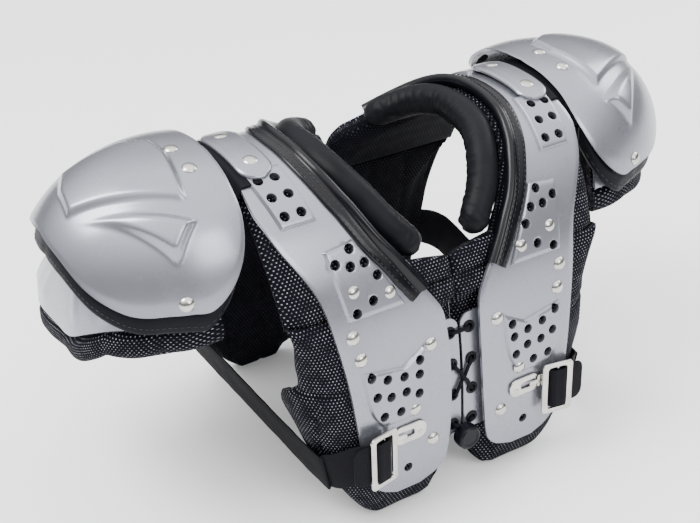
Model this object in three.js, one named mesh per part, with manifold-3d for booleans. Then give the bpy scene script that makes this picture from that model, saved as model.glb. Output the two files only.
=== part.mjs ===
import * as THREE from 'three';
import { mergeVertices } from 'three/addons/utils/BufferGeometryUtils.js';
import Module from 'manifold-3d';

// A football shoulder pad, in millimetres. X points to the wearer's left, Y to the back and Z up.
// It stands on the bottoms of its chest and back pads, as it would on a table.

const wasm = await Module();
wasm.setup();

// Driving sizes

const GAP = 0.3; // left between pieces that touch
const ARCH = {
  halfDepth: 150, // front face of the chest plate to the middle of the shoulder
  height: 321, // table to the top of the shoulder
  roundness: 2.42, // exponent of the side profile: 2 is an ellipse
  wall: 3,
};
const PERFORATION = { diameter: 8.9, sides: 6 };
const PANEL = { raise: 1.6, chamfer: 1.8 };
const TRIM = { band: 17, thickness: 2, bead: 6.6, lip: 3.8, drop: 2.7, clearance: 1.5 };
const ROLL = { radius: 14, setback: 20.4, sink: 12, taper: 0.55, frontEnd: 155, backEnd: 104 };
const PAD = {
  depth: 22, edge: 9, meetingGap: 1.6, neckStart: 4.5,
  recess: 14, // behind the lacing
  curlRadius: 44,
  columns: [0, 20, 50, 95, 125, 150, 180],
};
const FLANGE = { wall: 2, innerEdge: 1.5, inset: 4, eyelet: 7.6, eyeletOut: 10.3, pitch: 31.4, firstEyelet: 226 };
const LACE = { diameter: 3, sides: 5 };
const LOCK = { diameter: 23, height: 13, lip: 2.5 };
const STRAP_PLATE = { length: 90, width: 31, wall: 3, rivetSpacing: 50, x: 144 };
const HINGE = { width: 52, thickness: 1.8, columns: [132.5, 146, 158, 163.5, 167, 183, 198] };
const RIVET = { diameter: 12, dome: 2.6, rim: 0.8, sides: 8 };
const EPAULET = { x: 240, y: 14, wall: 3 }; // middle of the cap's plan
const DOME = {
  x: 200, y: 18, base: ARCH.height - 168, // centre of the round form under the shoulder cap
  reach: 145.4, halfLength: 119.5, narrowing: 0.054 / 130, rise: 177.9,
  plan: 1.9, side: 2.703,
};
const BINDING = { thickness: 6.4, above: 8.6, below: 20, lean: 2, flare: 7, clearance: 2.5 };
const CUP = {
  x: 200, y: 14, reach: 107, frontLength: 90, backLength: 98, backSpread: 10, rise: 158, side: 2.7,
  topPlan: 2.15, hemPlan: 5, topHeight: 95, hemHeight: 52, // plan turns from round to square going down
  wall: 3, span: 90,
};
const CUP_PAD = { thickness: 12, below: 27 };
const METAL_ALONG = 312; // distance along the plate of the buckle's middle
const HOOK = { x: 46.5, length: 34, height: 18, wall: 1.6, slotLength: 17, slotHeight: 7, above: 10 };
const BUCKLE = {
  x: 81, width: 31, height: 54, wall: 2.6, side: 6.5, rail: 5.5, bar: 2, tongue: 13,
  tilt: 0.2, // radians: its outer side stands off the plate, over the belt
};
const BELT = { width: 40, thickness: 1.5, tab: 14, backEnd: 78, backAlong: 298, lean: 9 };

// Middle of the belt round the wearer's side, from the front corner to the back corner
const BELT_SIDE = [
  { x: 130, y: -139, z: 72 },
  { x: 137, y: -130, z: 68.5 },
  { x: 141, y: -118, z: 67 },
  { x: 159, y: 95, z: 92 },
  { x: 158, y: 118, z: 94.5 },
  { x: 151, y: 134, z: 95 },
  { x: 138, y: 146, z: 95 },
];

// Outline of the arch plate, measured along its curve from the top of the shoulder
const FRONT_OUTLINE = [
  { along: 0, inner: 100, outer: 163 },
  { along: 40, inner: 97.5, outer: 163.5 },
  { along: 72, inner: 89.5, outer: 165 },
  { along: 88, inner: 83, outer: 161.5 },
  { along: 106, inner: 75.5, outer: 156 },
  { along: 121, inner: 68, outer: 149 },
  { along: 137, inner: 57.5, outer: 141 },
  { along: 154, inner: 47, outer: 134 },
  { along: 172, inner: 35.4, outer: 129.5 },
  { along: 194, inner: 21.5, outer: 126 },
  { along: 206, inner: 18.5, outer: 124 },
  { along: 240, inner: 17, outer: 119 },
  { along: 285, inner: 17.5, outer: 114 },
  { along: 325, inner: 20, outer: 108 },
  { along: 338, inner: 22, outer: 105 },
  { along: 349, inner: 26, outer: 98.5 },
  { along: 357, inner: 35, outer: 89.5 },
  { along: 363, inner: 52, outer: 76 },
];
const BACK_OUTLINE = [
  { along: 0, inner: 100, outer: 163 },
  { along: 22, inner: 98.5, outer: 163 },
  { along: 44, inner: 92.5, outer: 164 },
  { along: 62, inner: 84, outer: 165 },
  { along: 77, inner: 73, outer: 164 },
  { along: 89, inner: 61, outer: 161.5 },
  { along: 98, inner: 50, outer: 158.5 },
  { along: 110, inner: 34, outer: 154 },
  { along: 123, inner: 18, outer: 148 },
  { along: 137, inner: 17, outer: 141 },
  { along: 172, inner: 17, outer: 129.5 },
  { along: 240, inner: 17, outer: 119 },
  { along: 285, inner: 17.5, outer: 114 },
  { along: 325, inner: 20, outer: 108 },
  { along: 338, inner: 22, outer: 105 },
  { along: 349, inner: 26, outer: 98.5 },
  { along: 357, inner: 35, outer: 89.5 },
  { along: 363, inner: 52, outer: 76 },
];
const NECK_ENDS = { front: 172, back: 110 }; // where the trim and the roll's collar stop

// Plan of the shoulder cap: radius from its middle, at angles from straight out to straight in
const CAP_PLAN = [
  { angle: 0, radius: 72.3 },
  { angle: 22, radius: 75.8 },
  { angle: 43, radius: 83 },
  { angle: 62, radius: 88.7 },
  { angle: 82, radius: 95.5 },
  { angle: 94, radius: 102 },
  { angle: 104, radius: 109 },
  { angle: 114, radius: 112.8 },
  { angle: 122, radius: 111.6 },
  { angle: 130, radius: 104.3 },
  { angle: 142, radius: 88.4 },
  { angle: 159, radius: 76 },
  { angle: 180, radius: 71 },
];

// Height of the cup's hem above the cap's base, round the shoulder from the front (negative) to the back
const HEM = [
  { angle: -92, height: 68 },
  { angle: -60, height: 68 },
  { angle: -38, height: 66 },
  { angle: -15, height: 53 },
  { angle: 5, height: 39 },
  { angle: 30, height: 30 },
  { angle: 48, height: 31 },
  { angle: 70, height: 49 },
  { angle: 92, height: 71 },
];

// Raised panels of the chest plate, and the holes in them
const UPPER_PANEL = [
  { along: 32, inner: 121, outer: 158 },
  { along: 60, inner: 119, outer: 155 },
  { along: 93, inner: 115, outer: 149 },
];
const MIDDLE_PANEL = [
  { along: 114, inner: 92.5, outer: 121 },
  { along: 150, inner: 75, outer: 117 },
  { along: 182, inner: 59, outer: 112 },
];
const LOWER_PANEL = [
  { along: 222, inner: 44, outer: 106 },
  { along: 250, inner: 45, outer: 103 },
  { along: 272, inner: 50, outer: 98 },
  { along: 286, inner: 62, outer: 88 },
];
const NOTCH = { depth: 12, place: 0.4 }; // in the top edge of the lower panel
const UPPER_HOLES = { rows: 3, first: 46.5, pitch: 17.8, inner: 133, outer: 148.4, shift: -3.3 };
const MIDDLE_HOLES = [
  { x: 97.3, along: 121.6 }, { x: 113.4, along: 131 }, { x: 100.5, along: 136 }, { x: 87, along: 136 },
  { x: 78, along: 149 }, { x: 86.6, along: 168.5 }, { x: 103.7, along: 175 },
];
const LOWER_HOLES = [
  { x: 50, along: 234 }, { x: 51.5, along: 247 }, { x: 53, along: 265 }, { x: 67, along: 244 },
  { x: 66, along: 259 }, { x: 83.8, along: 241 }, { x: 81.5, along: 258.5 }, { x: 72.6, along: 276 },
  { x: 99, along: 234.6 }, { x: 95.2, along: 254 }, { x: 89.6, along: 275 },
];
const BOTTOM_HOLE = { x: 64.7, along: 340 };

// Outline of the pads, measured along the plate's curve; outer is measured round the side curl
const SHOULDER_PAD = [
  { along: -172, outer: 163 },
  { along: -121, outer: 166 },
  { along: -40, outer: 167 },
  { along: -20, outer: 174 },
  { along: 0, outer: 180 },
  { along: 44, outer: 178 },
  { along: 98, outer: 168 },
  { along: 172, outer: 163 },
];
const COLLAR = [
  { along: -172, inner: 6 },
  { along: -154, inner: 36 },
  { along: -137, inner: 100 },
  { along: 89, inner: 100 },
  { along: 98, inner: 44 },
  { along: 110, inner: 14 },
  { along: 123, inner: 4 },
];
const BODY_PAD = [
  { along: 178, inner: 3, outer: 164, back: 164, curl: 160, sink: 0 },
  { along: 194, inner: 2, outer: 164, back: 158, curl: 138, sink: 0 },
  { along: 222, inner: 1, outer: 170, back: 153, curl: 121, sink: 0 },
  { along: 240, inner: 0, outer: 172, back: 151, curl: 118, sink: 0 },
  { along: 262, inner: 0, outer: 196, back: 150, curl: 116, sink: 0 },
  { along: 280, inner: 0, outer: 224, back: 148, curl: 112, sink: 0 },
  { along: 300, inner: 0, outer: 200, back: 145, curl: 105, sink: 0 },
  { along: 320, inner: 1, outer: 162, back: 142, curl: 100, sink: 0 },
  { along: 349, inner: 6, outer: 137, back: 137, curl: 95, sink: 1 },
  { along: 368, inner: 15, outer: 121, back: 121, curl: 92, sink: 3.5 },
  { along: 384, inner: 27, outer: 106, back: 106, curl: 88, sink: 7 },
  { along: 393.3, inner: 41, outer: 90, back: 90, curl: 84, sink: 11 },
];

const COLOURS = {
  shell: { color: 0xb0b2bc, roughness: 0.42, metalness: 0.35 },
  vinyl: { color: 0x17171c, roughness: 0.35, metalness: 0 },
  nylon: { color: 0x33333c, roughness: 0.6, metalness: 0 },
  mesh: { color: 0x1c1c24, roughness: 0.9, metalness: 0 },
  webbing: { color: 0x14141b, roughness: 0.8, metalness: 0 },
  nickel: { color: 0xc9c7c0, roughness: 0.25, metalness: 1 },
  lace: { color: 0x0e0e12, roughness: 0.8, metalness: 0 },
};

// The arch's side profile: distance along it, depth and height

function profileTable(steps = 2000) {
  const rows = [{ along: 0, depth: 0, height: ARCH.height }];
  const power = 2 / ARCH.roundness;
  for (let i = 1; i <= steps; i += 1) {
    const angle = (Math.PI / 2) * (i / steps);
    const depth = ARCH.halfDepth * Math.sin(angle) ** power;
    const height = ARCH.height * Math.max(Math.cos(angle), 0) ** power;
    const last = rows[rows.length - 1];
    const step = Math.hypot(depth - last.depth, height - last.height);
    rows.push({ along: last.along + step, depth, height });
  }
  return rows;
}

const PROFILE = profileTable();
const FULL_LENGTH = PROFILE[PROFILE.length - 1].along;

function profileAt(along) {
  const distance = Math.min(Math.abs(along), FULL_LENGTH);
  let low = 0;
  let high = PROFILE.length - 1;
  while (high - low > 1) {
    const middle = (low + high) >> 1;
    if (PROFILE[middle].along > distance) high = middle;
    else low = middle;
  }
  const a = PROFILE[low];
  const b = PROFILE[high];
  const share = (distance - a.along) / (b.along - a.along);
  return {
    depth: a.depth + share * (b.depth - a.depth),
    height: a.height + share * (b.height - a.height),
  };
}

// A point over the arch's outer face. Negative along is the front, and lift is outward from the face.
function onArch(x, along, lift) {
  const side = Math.sign(along) || 1;
  const { depth, height } = profileAt(along);
  const power = ARCH.roundness - 1;
  const outY = (depth / ARCH.halfDepth) ** power / ARCH.halfDepth;
  const outZ = (height / ARCH.height) ** power / ARCH.height;
  const size = Math.hypot(outY, outZ);
  return new THREE.Vector3(x, side * (depth + (lift * outY) / size), height + (lift * outZ) / size);
}

function archNormal(along) {
  return onArch(0, along, 1).sub(onArch(0, along, 0));
}

// Smooth value of a table's column, through its rows
function read(table, at, column, key = 'along') {
  const last = table.length - 1;
  if (at <= table[0][key]) return table[0][column];
  if (at >= table[last][key]) return table[last][column];
  let i = 0;
  while (table[i + 1][key] < at) i += 1;
  const slope = (k) => {
    const a = table[Math.max(k - 1, 0)];
    const b = table[Math.min(k + 1, last)];
    return (b[column] - a[column]) / (b[key] - a[key]);
  };
  const width = table[i + 1][key] - table[i][key];
  const t = (at - table[i][key]) / width;
  const rise = table[i + 1][column] - table[i][column];
  const m0 = slope(i) * width;
  const m1 = slope(i + 1) * width;
  return table[i][column] + t * m0 + t * t * (3 * rise - 2 * m0 - m1) + t ** 3 * (m0 + m1 - 2 * rise);
}

function outline(along) {
  const table = along < 0 ? FRONT_OUTLINE : BACK_OUTLINE;
  return {
    inner: read(table, Math.abs(along), 'inner'),
    outer: read(table, Math.abs(along), 'outer'),
  };
}

// Solids from rings

function signedVolume(geometry) {
  const p = geometry.attributes.position;
  const index = geometry.index;
  const a = new THREE.Vector3();
  const b = new THREE.Vector3();
  const c = new THREE.Vector3();
  let sum = 0;
  for (let i = 0; i < index.count; i += 3) {
    a.fromBufferAttribute(p, index.getX(i));
    b.fromBufferAttribute(p, index.getX(i + 1));
    c.fromBufferAttribute(p, index.getX(i + 2));
    sum += a.dot(b.cross(c));
  }
  return sum / 6;
}

function flip(geometry) {
  const index = geometry.index;
  for (let i = 0; i < index.count; i += 3) {
    const kept = index.getX(i);
    index.setX(i, index.getX(i + 1));
    index.setX(i + 1, kept);
  }
  return geometry;
}

// Joins rings of equal length into one closed body. In each ring, point k faces point -1 - k.
function loft(rings) {
  const size = rings[0].length;
  const positions = rings.flat().flatMap((p) => [p.x, p.y, p.z]);
  const triangles = [];
  for (let r = 0; r < rings.length - 1; r += 1) {
    for (let k = 0; k < size; k += 1) {
      const a = r * size + k;
      const b = r * size + ((k + 1) % size);
      triangles.push(a, b, a + size, b, b + size, a + size);
    }
  }
  const cap = (start, turned) => {
    for (let k = 0; k < size / 2 - 1; k += 1) {
      const a = start + k;
      const b = start + k + 1;
      const c = start + size - 2 - k;
      const d = start + size - 1 - k;
      const faces = c === b ? [a, b, d] : [a, b, d, b, c, d];
      for (let i = 0; i < faces.length; i += 3) {
        const face = faces.slice(i, i + 3);
        triangles.push(...(turned ? face : [face[1], face[0], face[2]]));
      }
    }
  };
  cap(0, false);
  cap((rings.length - 1) * size, true);
  const geometry = new THREE.BufferGeometry();
  geometry.setAttribute('position', new THREE.Float32BufferAttribute(positions, 3));
  geometry.setIndex(triangles);
  return signedVolume(geometry) < 0 ? flip(geometry) : geometry;
}

// A wall between two faces, each given as a function of u and v from 0 to 1
function wall(columns, rows, outerFace, innerFace) {
  const rings = [];
  for (let j = 0; j <= rows; j += 1) {
    const ring = [];
    for (let i = 0; i <= columns; i += 1) ring.push(outerFace(i / columns, j / rows));
    for (let i = columns; i >= 0; i -= 1) ring.push(innerFace(i / columns, j / rows));
    rings.push(ring);
  }
  return loft(rings);
}

function circle(radius, sides) {
  const points = [];
  for (let k = 0; k < sides; k += 1) {
    const angle = (2 * Math.PI * (k + 0.5)) / sides;
    points.push([radius * Math.cos(angle), radius * Math.sin(angle)]);
  }
  return points;
}

function spaced(from, to, count) {
  return Array.from({ length: count + 1 }, (_, i) => from + ((to - from) * i) / count);
}

// Booleans

function toManifold(geometry) {
  const plain = geometry.clone();
  plain.deleteAttribute('normal');
  plain.deleteAttribute('uv');
  const merged = mergeVertices(plain, 1e-4);
  return new wasm.Manifold(new wasm.Mesh({
    numProp: 3,
    vertProperties: new Float32Array(merged.attributes.position.array),
    triVerts: new Uint32Array(merged.index.array),
  }));
}

function fromManifold(solid) {
  const mesh = solid.getMesh();
  const geometry = new THREE.BufferGeometry();
  geometry.setAttribute('position', new THREE.BufferAttribute(mesh.vertProperties, 3));
  geometry.setIndex(new THREE.BufferAttribute(mesh.triVerts, 1));
  return geometry;
}

function combine(base, added, cut) {
  let solid = toManifold(base);
  for (const piece of added) solid = solid.add(toManifold(piece));
  for (const piece of cut) solid = solid.subtract(toManifold(piece));
  return fromManifold(solid);
}

// A drill standing on the arch's face
function drill(x, along, diameter, length, sides) {
  const geometry = new THREE.CylinderGeometry(diameter / 2, diameter / 2, length, sides);
  const turn = new THREE.Quaternion().setFromUnitVectors(new THREE.Vector3(0, 1, 0), archNormal(along));
  const middle = onArch(x, along, 0);
  geometry.applyMatrix4(new THREE.Matrix4().compose(middle, turn, new THREE.Vector3(1, 1, 1)));
  return geometry;
}

// Arch plate

const CHEST_STATIONS = [178, 194, 207, 222, 240, 262, 280, 300, 320, 336, 349, 357, 363];
const NECK_STATIONS = [-172, -154, -137, -121, -106, -88, -72, -56, -40, -20, 0, 22, 44, 62, 77, 89, 98, 110];
const ARCH_STATIONS = [
  ...CHEST_STATIONS.map((along) => -along).reverse(),
  ...NECK_STATIONS,
  123, 137, 154, 172,
  ...CHEST_STATIONS,
];

function panelSolid(rows, notch = 0) {
  const columns = notch ? [0, NOTCH.place, 1] : [0, 1];
  const firstRow = rows[0].along;
  const lastRow = rows[rows.length - 1].along;
  const stations = [firstRow, firstRow + PANEL.chamfer, ...rows.slice(1, -1).map((r) => r.along),
    lastRow - PANEL.chamfer, lastRow];
  const rings = stations.map((along, s) => {
    const atEnd = s === 0 || s === stations.length - 1;
    const inner = read(rows, along, 'inner');
    const outer = read(rows, along, 'outer');
    const height = atEnd ? 0.1 : PANEL.raise;
    const inset = atEnd ? 0 : PANEL.chamfer;
    const dip = (share) => (s <= 1 && share === NOTCH.place ? notch : 0);
    const across = (share, pull) => inner + pull + (outer - inner - 2 * pull) * share;
    const point = (share, pull, lift) => onArch(across(share, pull), -(along + dip(share)), lift);
    const low = -ARCH.wall / 2;
    return [
      point(0, 0, low),
      ...columns.map((share) => point(share, inset, height)),
      point(1, 0, low),
      ...columns.map((share) => point(share, 0, low - 0.5)).reverse(),
    ];
  });
  return loft(rings);
}

function archShell() {
  const last = ARCH_STATIONS.length - 1;
  const face = (lift) => (u, v) => {
    const along = ARCH_STATIONS[Math.round(v * last)];
    const { inner, outer } = outline(along);
    return onArch(inner + u * (outer - inner), along, lift);
  };
  const plate = wall(1, last, face(0), face(-ARCH.wall));
  const holes = [];
  const pierce = (x, along) => {
    holes.push(drill(x, -along, PERFORATION.diameter, 4 * ARCH.wall, PERFORATION.sides));
  };
  for (let row = 0; row < UPPER_HOLES.rows; row += 1) {
    const along = UPPER_HOLES.first + row * UPPER_HOLES.pitch;
    pierce(UPPER_HOLES.inner + row * UPPER_HOLES.shift, along);
    pierce(UPPER_HOLES.outer + row * UPPER_HOLES.shift, along);
  }
  for (const hole of [...MIDDLE_HOLES, ...LOWER_HOLES, BOTTOM_HOLE]) pierce(hole.x, hole.along);
  const panels = [panelSolid(UPPER_PANEL), panelSolid(MIDDLE_PANEL), panelSolid(LOWER_PANEL, NOTCH.depth)];
  return combine(plate, panels, holes);
}

// A point beside the plate's neck edge, moved into the plate by a distance and outward by a lift
function besideNeck(along, distance, lift) {
  const step = 2;
  const before = outline(along - step).inner;
  const after = outline(along + step).inner;
  const tangent = new THREE.Vector2(after - before, 2 * step).normalize();
  const place = along - tangent.x * distance;
  return onArch(outline(along).inner + tangent.y * distance, place, lift);
}

function neckTrim() {
  const { band, thickness, bead, lip, drop, clearance } = TRIM;
  const section = [
    [-2, -drop], [-lip, -drop], [-lip, 3.6], [-1, bead], [3.4, bead],
    [7.2, thickness + clearance], [band, thickness + clearance], [band, clearance], [5, clearance], [-2, clearance],
  ];
  return loft(NECK_STATIONS.map((along) => section.map(([a, lift]) => besideNeck(along, a, lift))));
}

function neckRoll() {
  const stations = [-ROLL.frontEnd, 8 - ROLL.frontEnd, ...NECK_STATIONS.slice(3, -2), ROLL.backEnd - 6, ROLL.backEnd];
  const last = stations.length - 1;
  return loft(stations.map((along, i) => {
    const radius = ROLL.radius * (i === 0 || i === last ? ROLL.taper : 1);
    return circle(radius, 7).map(([a, lift]) => besideNeck(along, a - ROLL.setback, lift - ROLL.sink));
  }));
}

// Pads

const PAD_TOP = -(ARCH.wall + GAP);

function shoulderPad() {
  const stations = NECK_STATIONS.filter((along, i) => i < 2 || (i % 2 === 1 && along < 90)).concat(98, 123, 154, 172);
  const last = stations.length - 1;
  const face = (bottom) => (u, v) => {
    const along = stations[Math.round(v * last)];
    const neck = besideNeck(along, -PAD.neckStart, PAD_TOP);
    const inner = Math.min(neck.x, outline(along).inner, read(COLLAR, along, 'inner'));
    const x = inner + u * (read(SHOULDER_PAD, along, 'outer') - inner);
    const crown = PAD.edge + (PAD.depth - PAD.edge) * Math.sin(Math.PI * u) ** 0.6;
    return onArch(x, along, PAD_TOP - (bottom ? crown : 0));
  };
  return wall(4, last, face(false), face(true));
}

// The body pads turn back round the wearer's side, past the distance named curl
function roundSide(x, along, lift, curl) {
  if (x <= curl) return onArch(x, along, lift);
  const radius = PAD.curlRadius;
  const turn = Math.min((x - curl) / radius, 1.75);
  const rest = x - curl - turn * radius;
  const outward = radius + lift;
  const start = onArch(curl, along, 0);
  const sideways = outward * Math.sin(turn) + rest * Math.cos(turn);
  const inward = radius - outward * Math.cos(turn) + rest * Math.sin(turn);
  return start.add(new THREE.Vector3(sideways, -Math.sign(along) * inward, 0));
}

function bodyPad(side) {
  const stations = BODY_PAD.map((row) => row.along);
  const last = stations.length - 1;
  const columns = PAD.columns.length - 1;
  const face = (bottom) => (u, v) => {
    const along = stations[Math.round(v * last)];
    const column = Math.round(u * columns);
    const inner = read(BODY_PAD, along, 'inner') + PAD.meetingGap;
    const outer = read(BODY_PAD, along, side < 0 ? 'outer' : 'back');
    const least = inner + 1.5 * column;
    const most = outer - 1.5 * (columns - column);
    const x = column === columns ? outer : Math.max(least, Math.min(PAD.columns[column], most));
    const middle = Math.sin(Math.PI * Math.min(Math.max((x - inner) / (outer - inner), 0), 1));
    const crown = PAD.edge + (PAD.depth - PAD.edge) * middle ** 0.5;
    const besideLacing = along > FLANGE.firstEyelet - 30 ? PAD.recess : 0;
    const recess = besideLacing * (1 - THREE.MathUtils.clamp((x - PAD.columns[1]) / 30, 0, 1));
    const sink = read(BODY_PAD, along, 'sink');
    const lift = PAD_TOP - Math.max(recess, sink) - (bottom ? crown - recess * 0.4 - sink * 0.3 : 0);
    return roundSide(x, side * along, lift, read(BODY_PAD, along, 'curl'));
  };
  return wall(columns, last, face(false), face(true));
}

// Shoulder cap

function domeHeight(x, y, offset = 0) {
  const narrow = 1 - DOME.narrowing * (x - 170);
  const alongX = Math.abs(x - DOME.x) / (DOME.reach - offset);
  const alongY = Math.abs(y - DOME.y) / (DOME.halfLength * narrow - offset);
  const flat = (alongX ** DOME.plan + alongY ** DOME.plan) ** (DOME.side / DOME.plan);
  return DOME.base + (DOME.rise - offset) * Math.max(1 - flat, 0) ** (1 / DOME.side);
}

// A point of the cap in a direction from its middle, at a share of the way to its edge
function capPoint(angle, share, offset = 0) {
  const degrees = Math.abs(Math.atan2(Math.sin(angle), Math.cos(angle))) * (180 / Math.PI);
  const radius = (read(CAP_PLAN, degrees, 'radius', 'angle') - offset) * share;
  const x = EPAULET.x + radius * Math.cos(angle);
  const y = EPAULET.y + radius * Math.sin(angle);
  return new THREE.Vector3(x, y, domeHeight(x, y, offset));
}

function epaulet() {
  const shares = [0.03, 0.32, 0.57, 0.78, 0.92, 1];
  const ring = (share, offset) => spaced(0, 2 * Math.PI, 20).slice(0, 20)
    .map((angle) => capPoint(angle, share, offset));
  const outer = shares.map((share) => ring(share, 0));
  const inner = shares.map((share) => ring(share, EPAULET.wall)).reverse();
  return loft([...outer, ...inner]);
}

function epauletBinding() {
  const steps = 18;
  const { thickness, above, below, flare, clearance } = BINDING;
  const turn = (128 * Math.PI) / 180;
  const rings = spaced(-turn, turn, steps).map((angle) => {
    const edge = capPoint(angle, 1, EPAULET.wall + GAP + clearance);
    const lean = BINDING.lean - flare * Math.max(Math.cos(angle), 0);
    const inward = new THREE.Vector3(-Math.cos(angle), -Math.sin(angle), 0);
    const point = (depth, height) => edge.clone().addScaledVector(inward, depth).setZ(edge.z + height);
    return [
      point(lean, -below), point(0, -3), point(above, above),
      point(above + thickness, above - 3), point(thickness, -3), point(thickness + lean, -below),
    ];
  });
  return loft(rings);
}

// Lower cup under the cap, and the pad in it

function cupPoint(angle, tilt, offset = 0) {
  const grow = (value, power) => Math.sign(value) * Math.abs(value) ** (2 / power);
  const flat = grow(Math.cos(tilt), CUP.side);
  const z = DOME.base + (CUP.rise - offset) * grow(Math.sin(tilt), CUP.side);
  const squareness = THREE.MathUtils.mapLinear(z - DOME.base, CUP.topHeight, CUP.hemHeight, 0, 1);
  const squarer = THREE.MathUtils.clamp(squareness, 0, 1) * (angle < 0 ? 0.2 : 1);
  const plan = CUP.topPlan + (CUP.hemPlan - CUP.topPlan) * squarer;
  const length = angle < 0 ? CUP.frontLength : CUP.backLength + CUP.backSpread * squarer;
  return new THREE.Vector3(
    CUP.x + (CUP.reach - offset) * flat * grow(Math.cos(angle), plan),
    CUP.y + (length - offset) * flat * grow(Math.sin(angle), plan),
    z,
  );
}

function tiltAt(height, offset = 0) {
  return Math.asin(((height - DOME.base) / (CUP.rise - offset)) ** (CUP.side / 2));
}

// Rows of the cup's walls: its hem, then heights up to its crown
function cupLevels(degrees) {
  const hem = read(HEM, degrees, 'height', 'angle');
  const heights = [hem, (hem + CUP.topHeight) / 2, CUP.topHeight, CUP.rise * 0.753, CUP.rise * 0.93];
  return heights.map((height) => DOME.base + height);
}

function cupWall(thickness, offset, levelsAt) {
  const rows = levelsAt(0).length - 1;
  const face = (inset) => (u, v) => {
    const degrees = CUP.span * (2 * u - 1);
    const height = levelsAt(degrees)[Math.round(v * rows)];
    return cupPoint((degrees * Math.PI) / 180, tiltAt(height, inset), inset);
  };
  return wall(10, rows, face(offset), face(offset + thickness));
}

function cupPad() {
  return cupWall(CUP_PAD.thickness, CUP.wall + 11 * GAP, (degrees) => {
    const levels = cupLevels(degrees).slice(0, -1);
    return [levels[0] - CUP_PAD.below, ...levels];
  });
}

// Strap plate, hinge webbing and rivets on the shoulder

function archPatch(width, length, lift, thickness, steps, centreX) {
  const end = width / 2;
  const face = (height) => (u, v) => {
    const along = (v - 0.5) * length;
    const fromEnd = length / 2 - Math.abs(along);
    const half = fromEnd < end ? Math.sqrt(Math.max(end * end - (end - fromEnd) ** 2, 36)) : end;
    return onArch(centreX + (2 * u - 1) * half, along, height);
  };
  return wall(1, steps, face(lift + thickness), face(lift));
}

const HINGE_LIFT = 0.8; // clears the plate's facets

function strapPlate() {
  const lift = HINGE_LIFT + HINGE.thickness + 2 * GAP;
  return archPatch(STRAP_PLATE.width, STRAP_PLATE.length, lift, STRAP_PLATE.wall, 12, STRAP_PLATE.x);
}

function hingeStrap() {
  const { columns, width, thickness } = HINGE;
  const face = (height) => (u, v) => {
    const along = (v - 0.5) * width;
    const x = columns[Math.round(u * (columns.length - 1))];
    const p = onArch(x, along, HINGE_LIFT);
    const underCap = domeHeight(Math.max(x, 169.5), along, EPAULET.wall) - thickness - 3 * GAP;
    return p.setZ(height + (x < 165 ? p.z : Math.min(p.z, underCap - 5 * GAP)));
  };
  return wall(columns.length - 1, 4, face(thickness), face(0));
}

function rivetShape() {
  const radius = RIVET.diameter / 2;
  const points = [
    new THREE.Vector2(0, 0), new THREE.Vector2(radius, 0), new THREE.Vector2(radius, RIVET.rim),
    new THREE.Vector2(radius * 0.62, RIVET.dome * 0.84), new THREE.Vector2(0, RIVET.dome),
  ];
  return new THREE.LatheGeometry(points, RIVET.sides);
}

// A rivet standing just off a piece, found by looking straight down at it from a point outside
function rivetOn(piece, outside, direction) {
  const target = new THREE.Mesh(piece, new THREE.MeshBasicMaterial({ side: THREE.DoubleSide }));
  const turn = new THREE.Quaternion().setFromUnitVectors(new THREE.Vector3(0, 1, 0), direction);
  const ray = new THREE.Raycaster();
  const distances = [];
  for (const [a, b] of [[0, 0], ...circle(RIVET.diameter / 2, RIVET.sides)]) {
    const start = new THREE.Vector3(a, 0, b).applyQuaternion(turn).add(outside);
    ray.set(start, direction.clone().negate());
    const hits = ray.intersectObject(target);
    if (hits.length) distances.push(hits[0].distance);
  }
  const seat = outside.clone().addScaledVector(direction, 1.5 * GAP - Math.min(...distances));
  const place = new THREE.Matrix4().compose(seat, turn, new THREE.Vector3(1, 1, 1));
  return rivetShape().applyMatrix4(place);
}

function strapRivet(plate, side) {
  const along = (side * STRAP_PLATE.rivetSpacing) / 2;
  return rivetOn(plate, onArch(STRAP_PLATE.x, along, 20), archNormal(along));
}

function capRivet(cap, x, y) {
  const step = 4;
  const slopeX = (domeHeight(x + step, y) - domeHeight(x - step, y)) / (2 * step);
  const slopeY = (domeHeight(x, y + step) - domeHeight(x, y - step)) / (2 * step);
  const normal = new THREE.Vector3(-slopeX, -slopeY, 1).normalize();
  const outside = new THREE.Vector3(x, y, domeHeight(x, y)).addScaledVector(normal, 20);
  return rivetOn(cap, outside, normal);
}

// Lacing

function flange() {
  const { firstEyelet, pitch, innerEdge, wall: thickness, inset } = FLANGE;
  const top = firstEyelet - 14;
  const bottom = firstEyelet + 3 * pitch + 11;
  const corner = 10;
  const stations = [top, top + 2, top + corner, firstEyelet + pitch, bottom - corner, bottom - 2, bottom];
  const columns = [0, 20, 38];
  const face = (lift) => (u, v) => {
    const along = stations[Math.round(v * (stations.length - 1))];
    const fromEnd = Math.min(along - top, bottom - along);
    const round = fromEnd < corner ? corner - Math.sqrt(corner ** 2 - (corner - fromEnd) ** 2) : 0;
    const x = innerEdge + columns[Math.round(u * 2)] + (u === 0 ? round : 0);
    return onArch(x, -along, lift + (u === 1 ? 0 : -inset));
  };
  const underPlate = -(ARCH.wall + 3 * GAP);
  const plate = wall(2, stations.length - 1, face(underPlate), face(underPlate - thickness));
  const holes = spaced(0, 3, 3).map((i) => (
    drill(FLANGE.eyeletOut, -(firstEyelet + i * pitch), FLANGE.eyelet, 40, 6)
  ));
  return combine(plate, [], holes);
}

function mirroredBack(geometry) {
  const turned = geometry.clone().applyMatrix4(new THREE.Matrix4().makeScale(1, -1, 1));
  return flip(turned);
}

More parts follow.
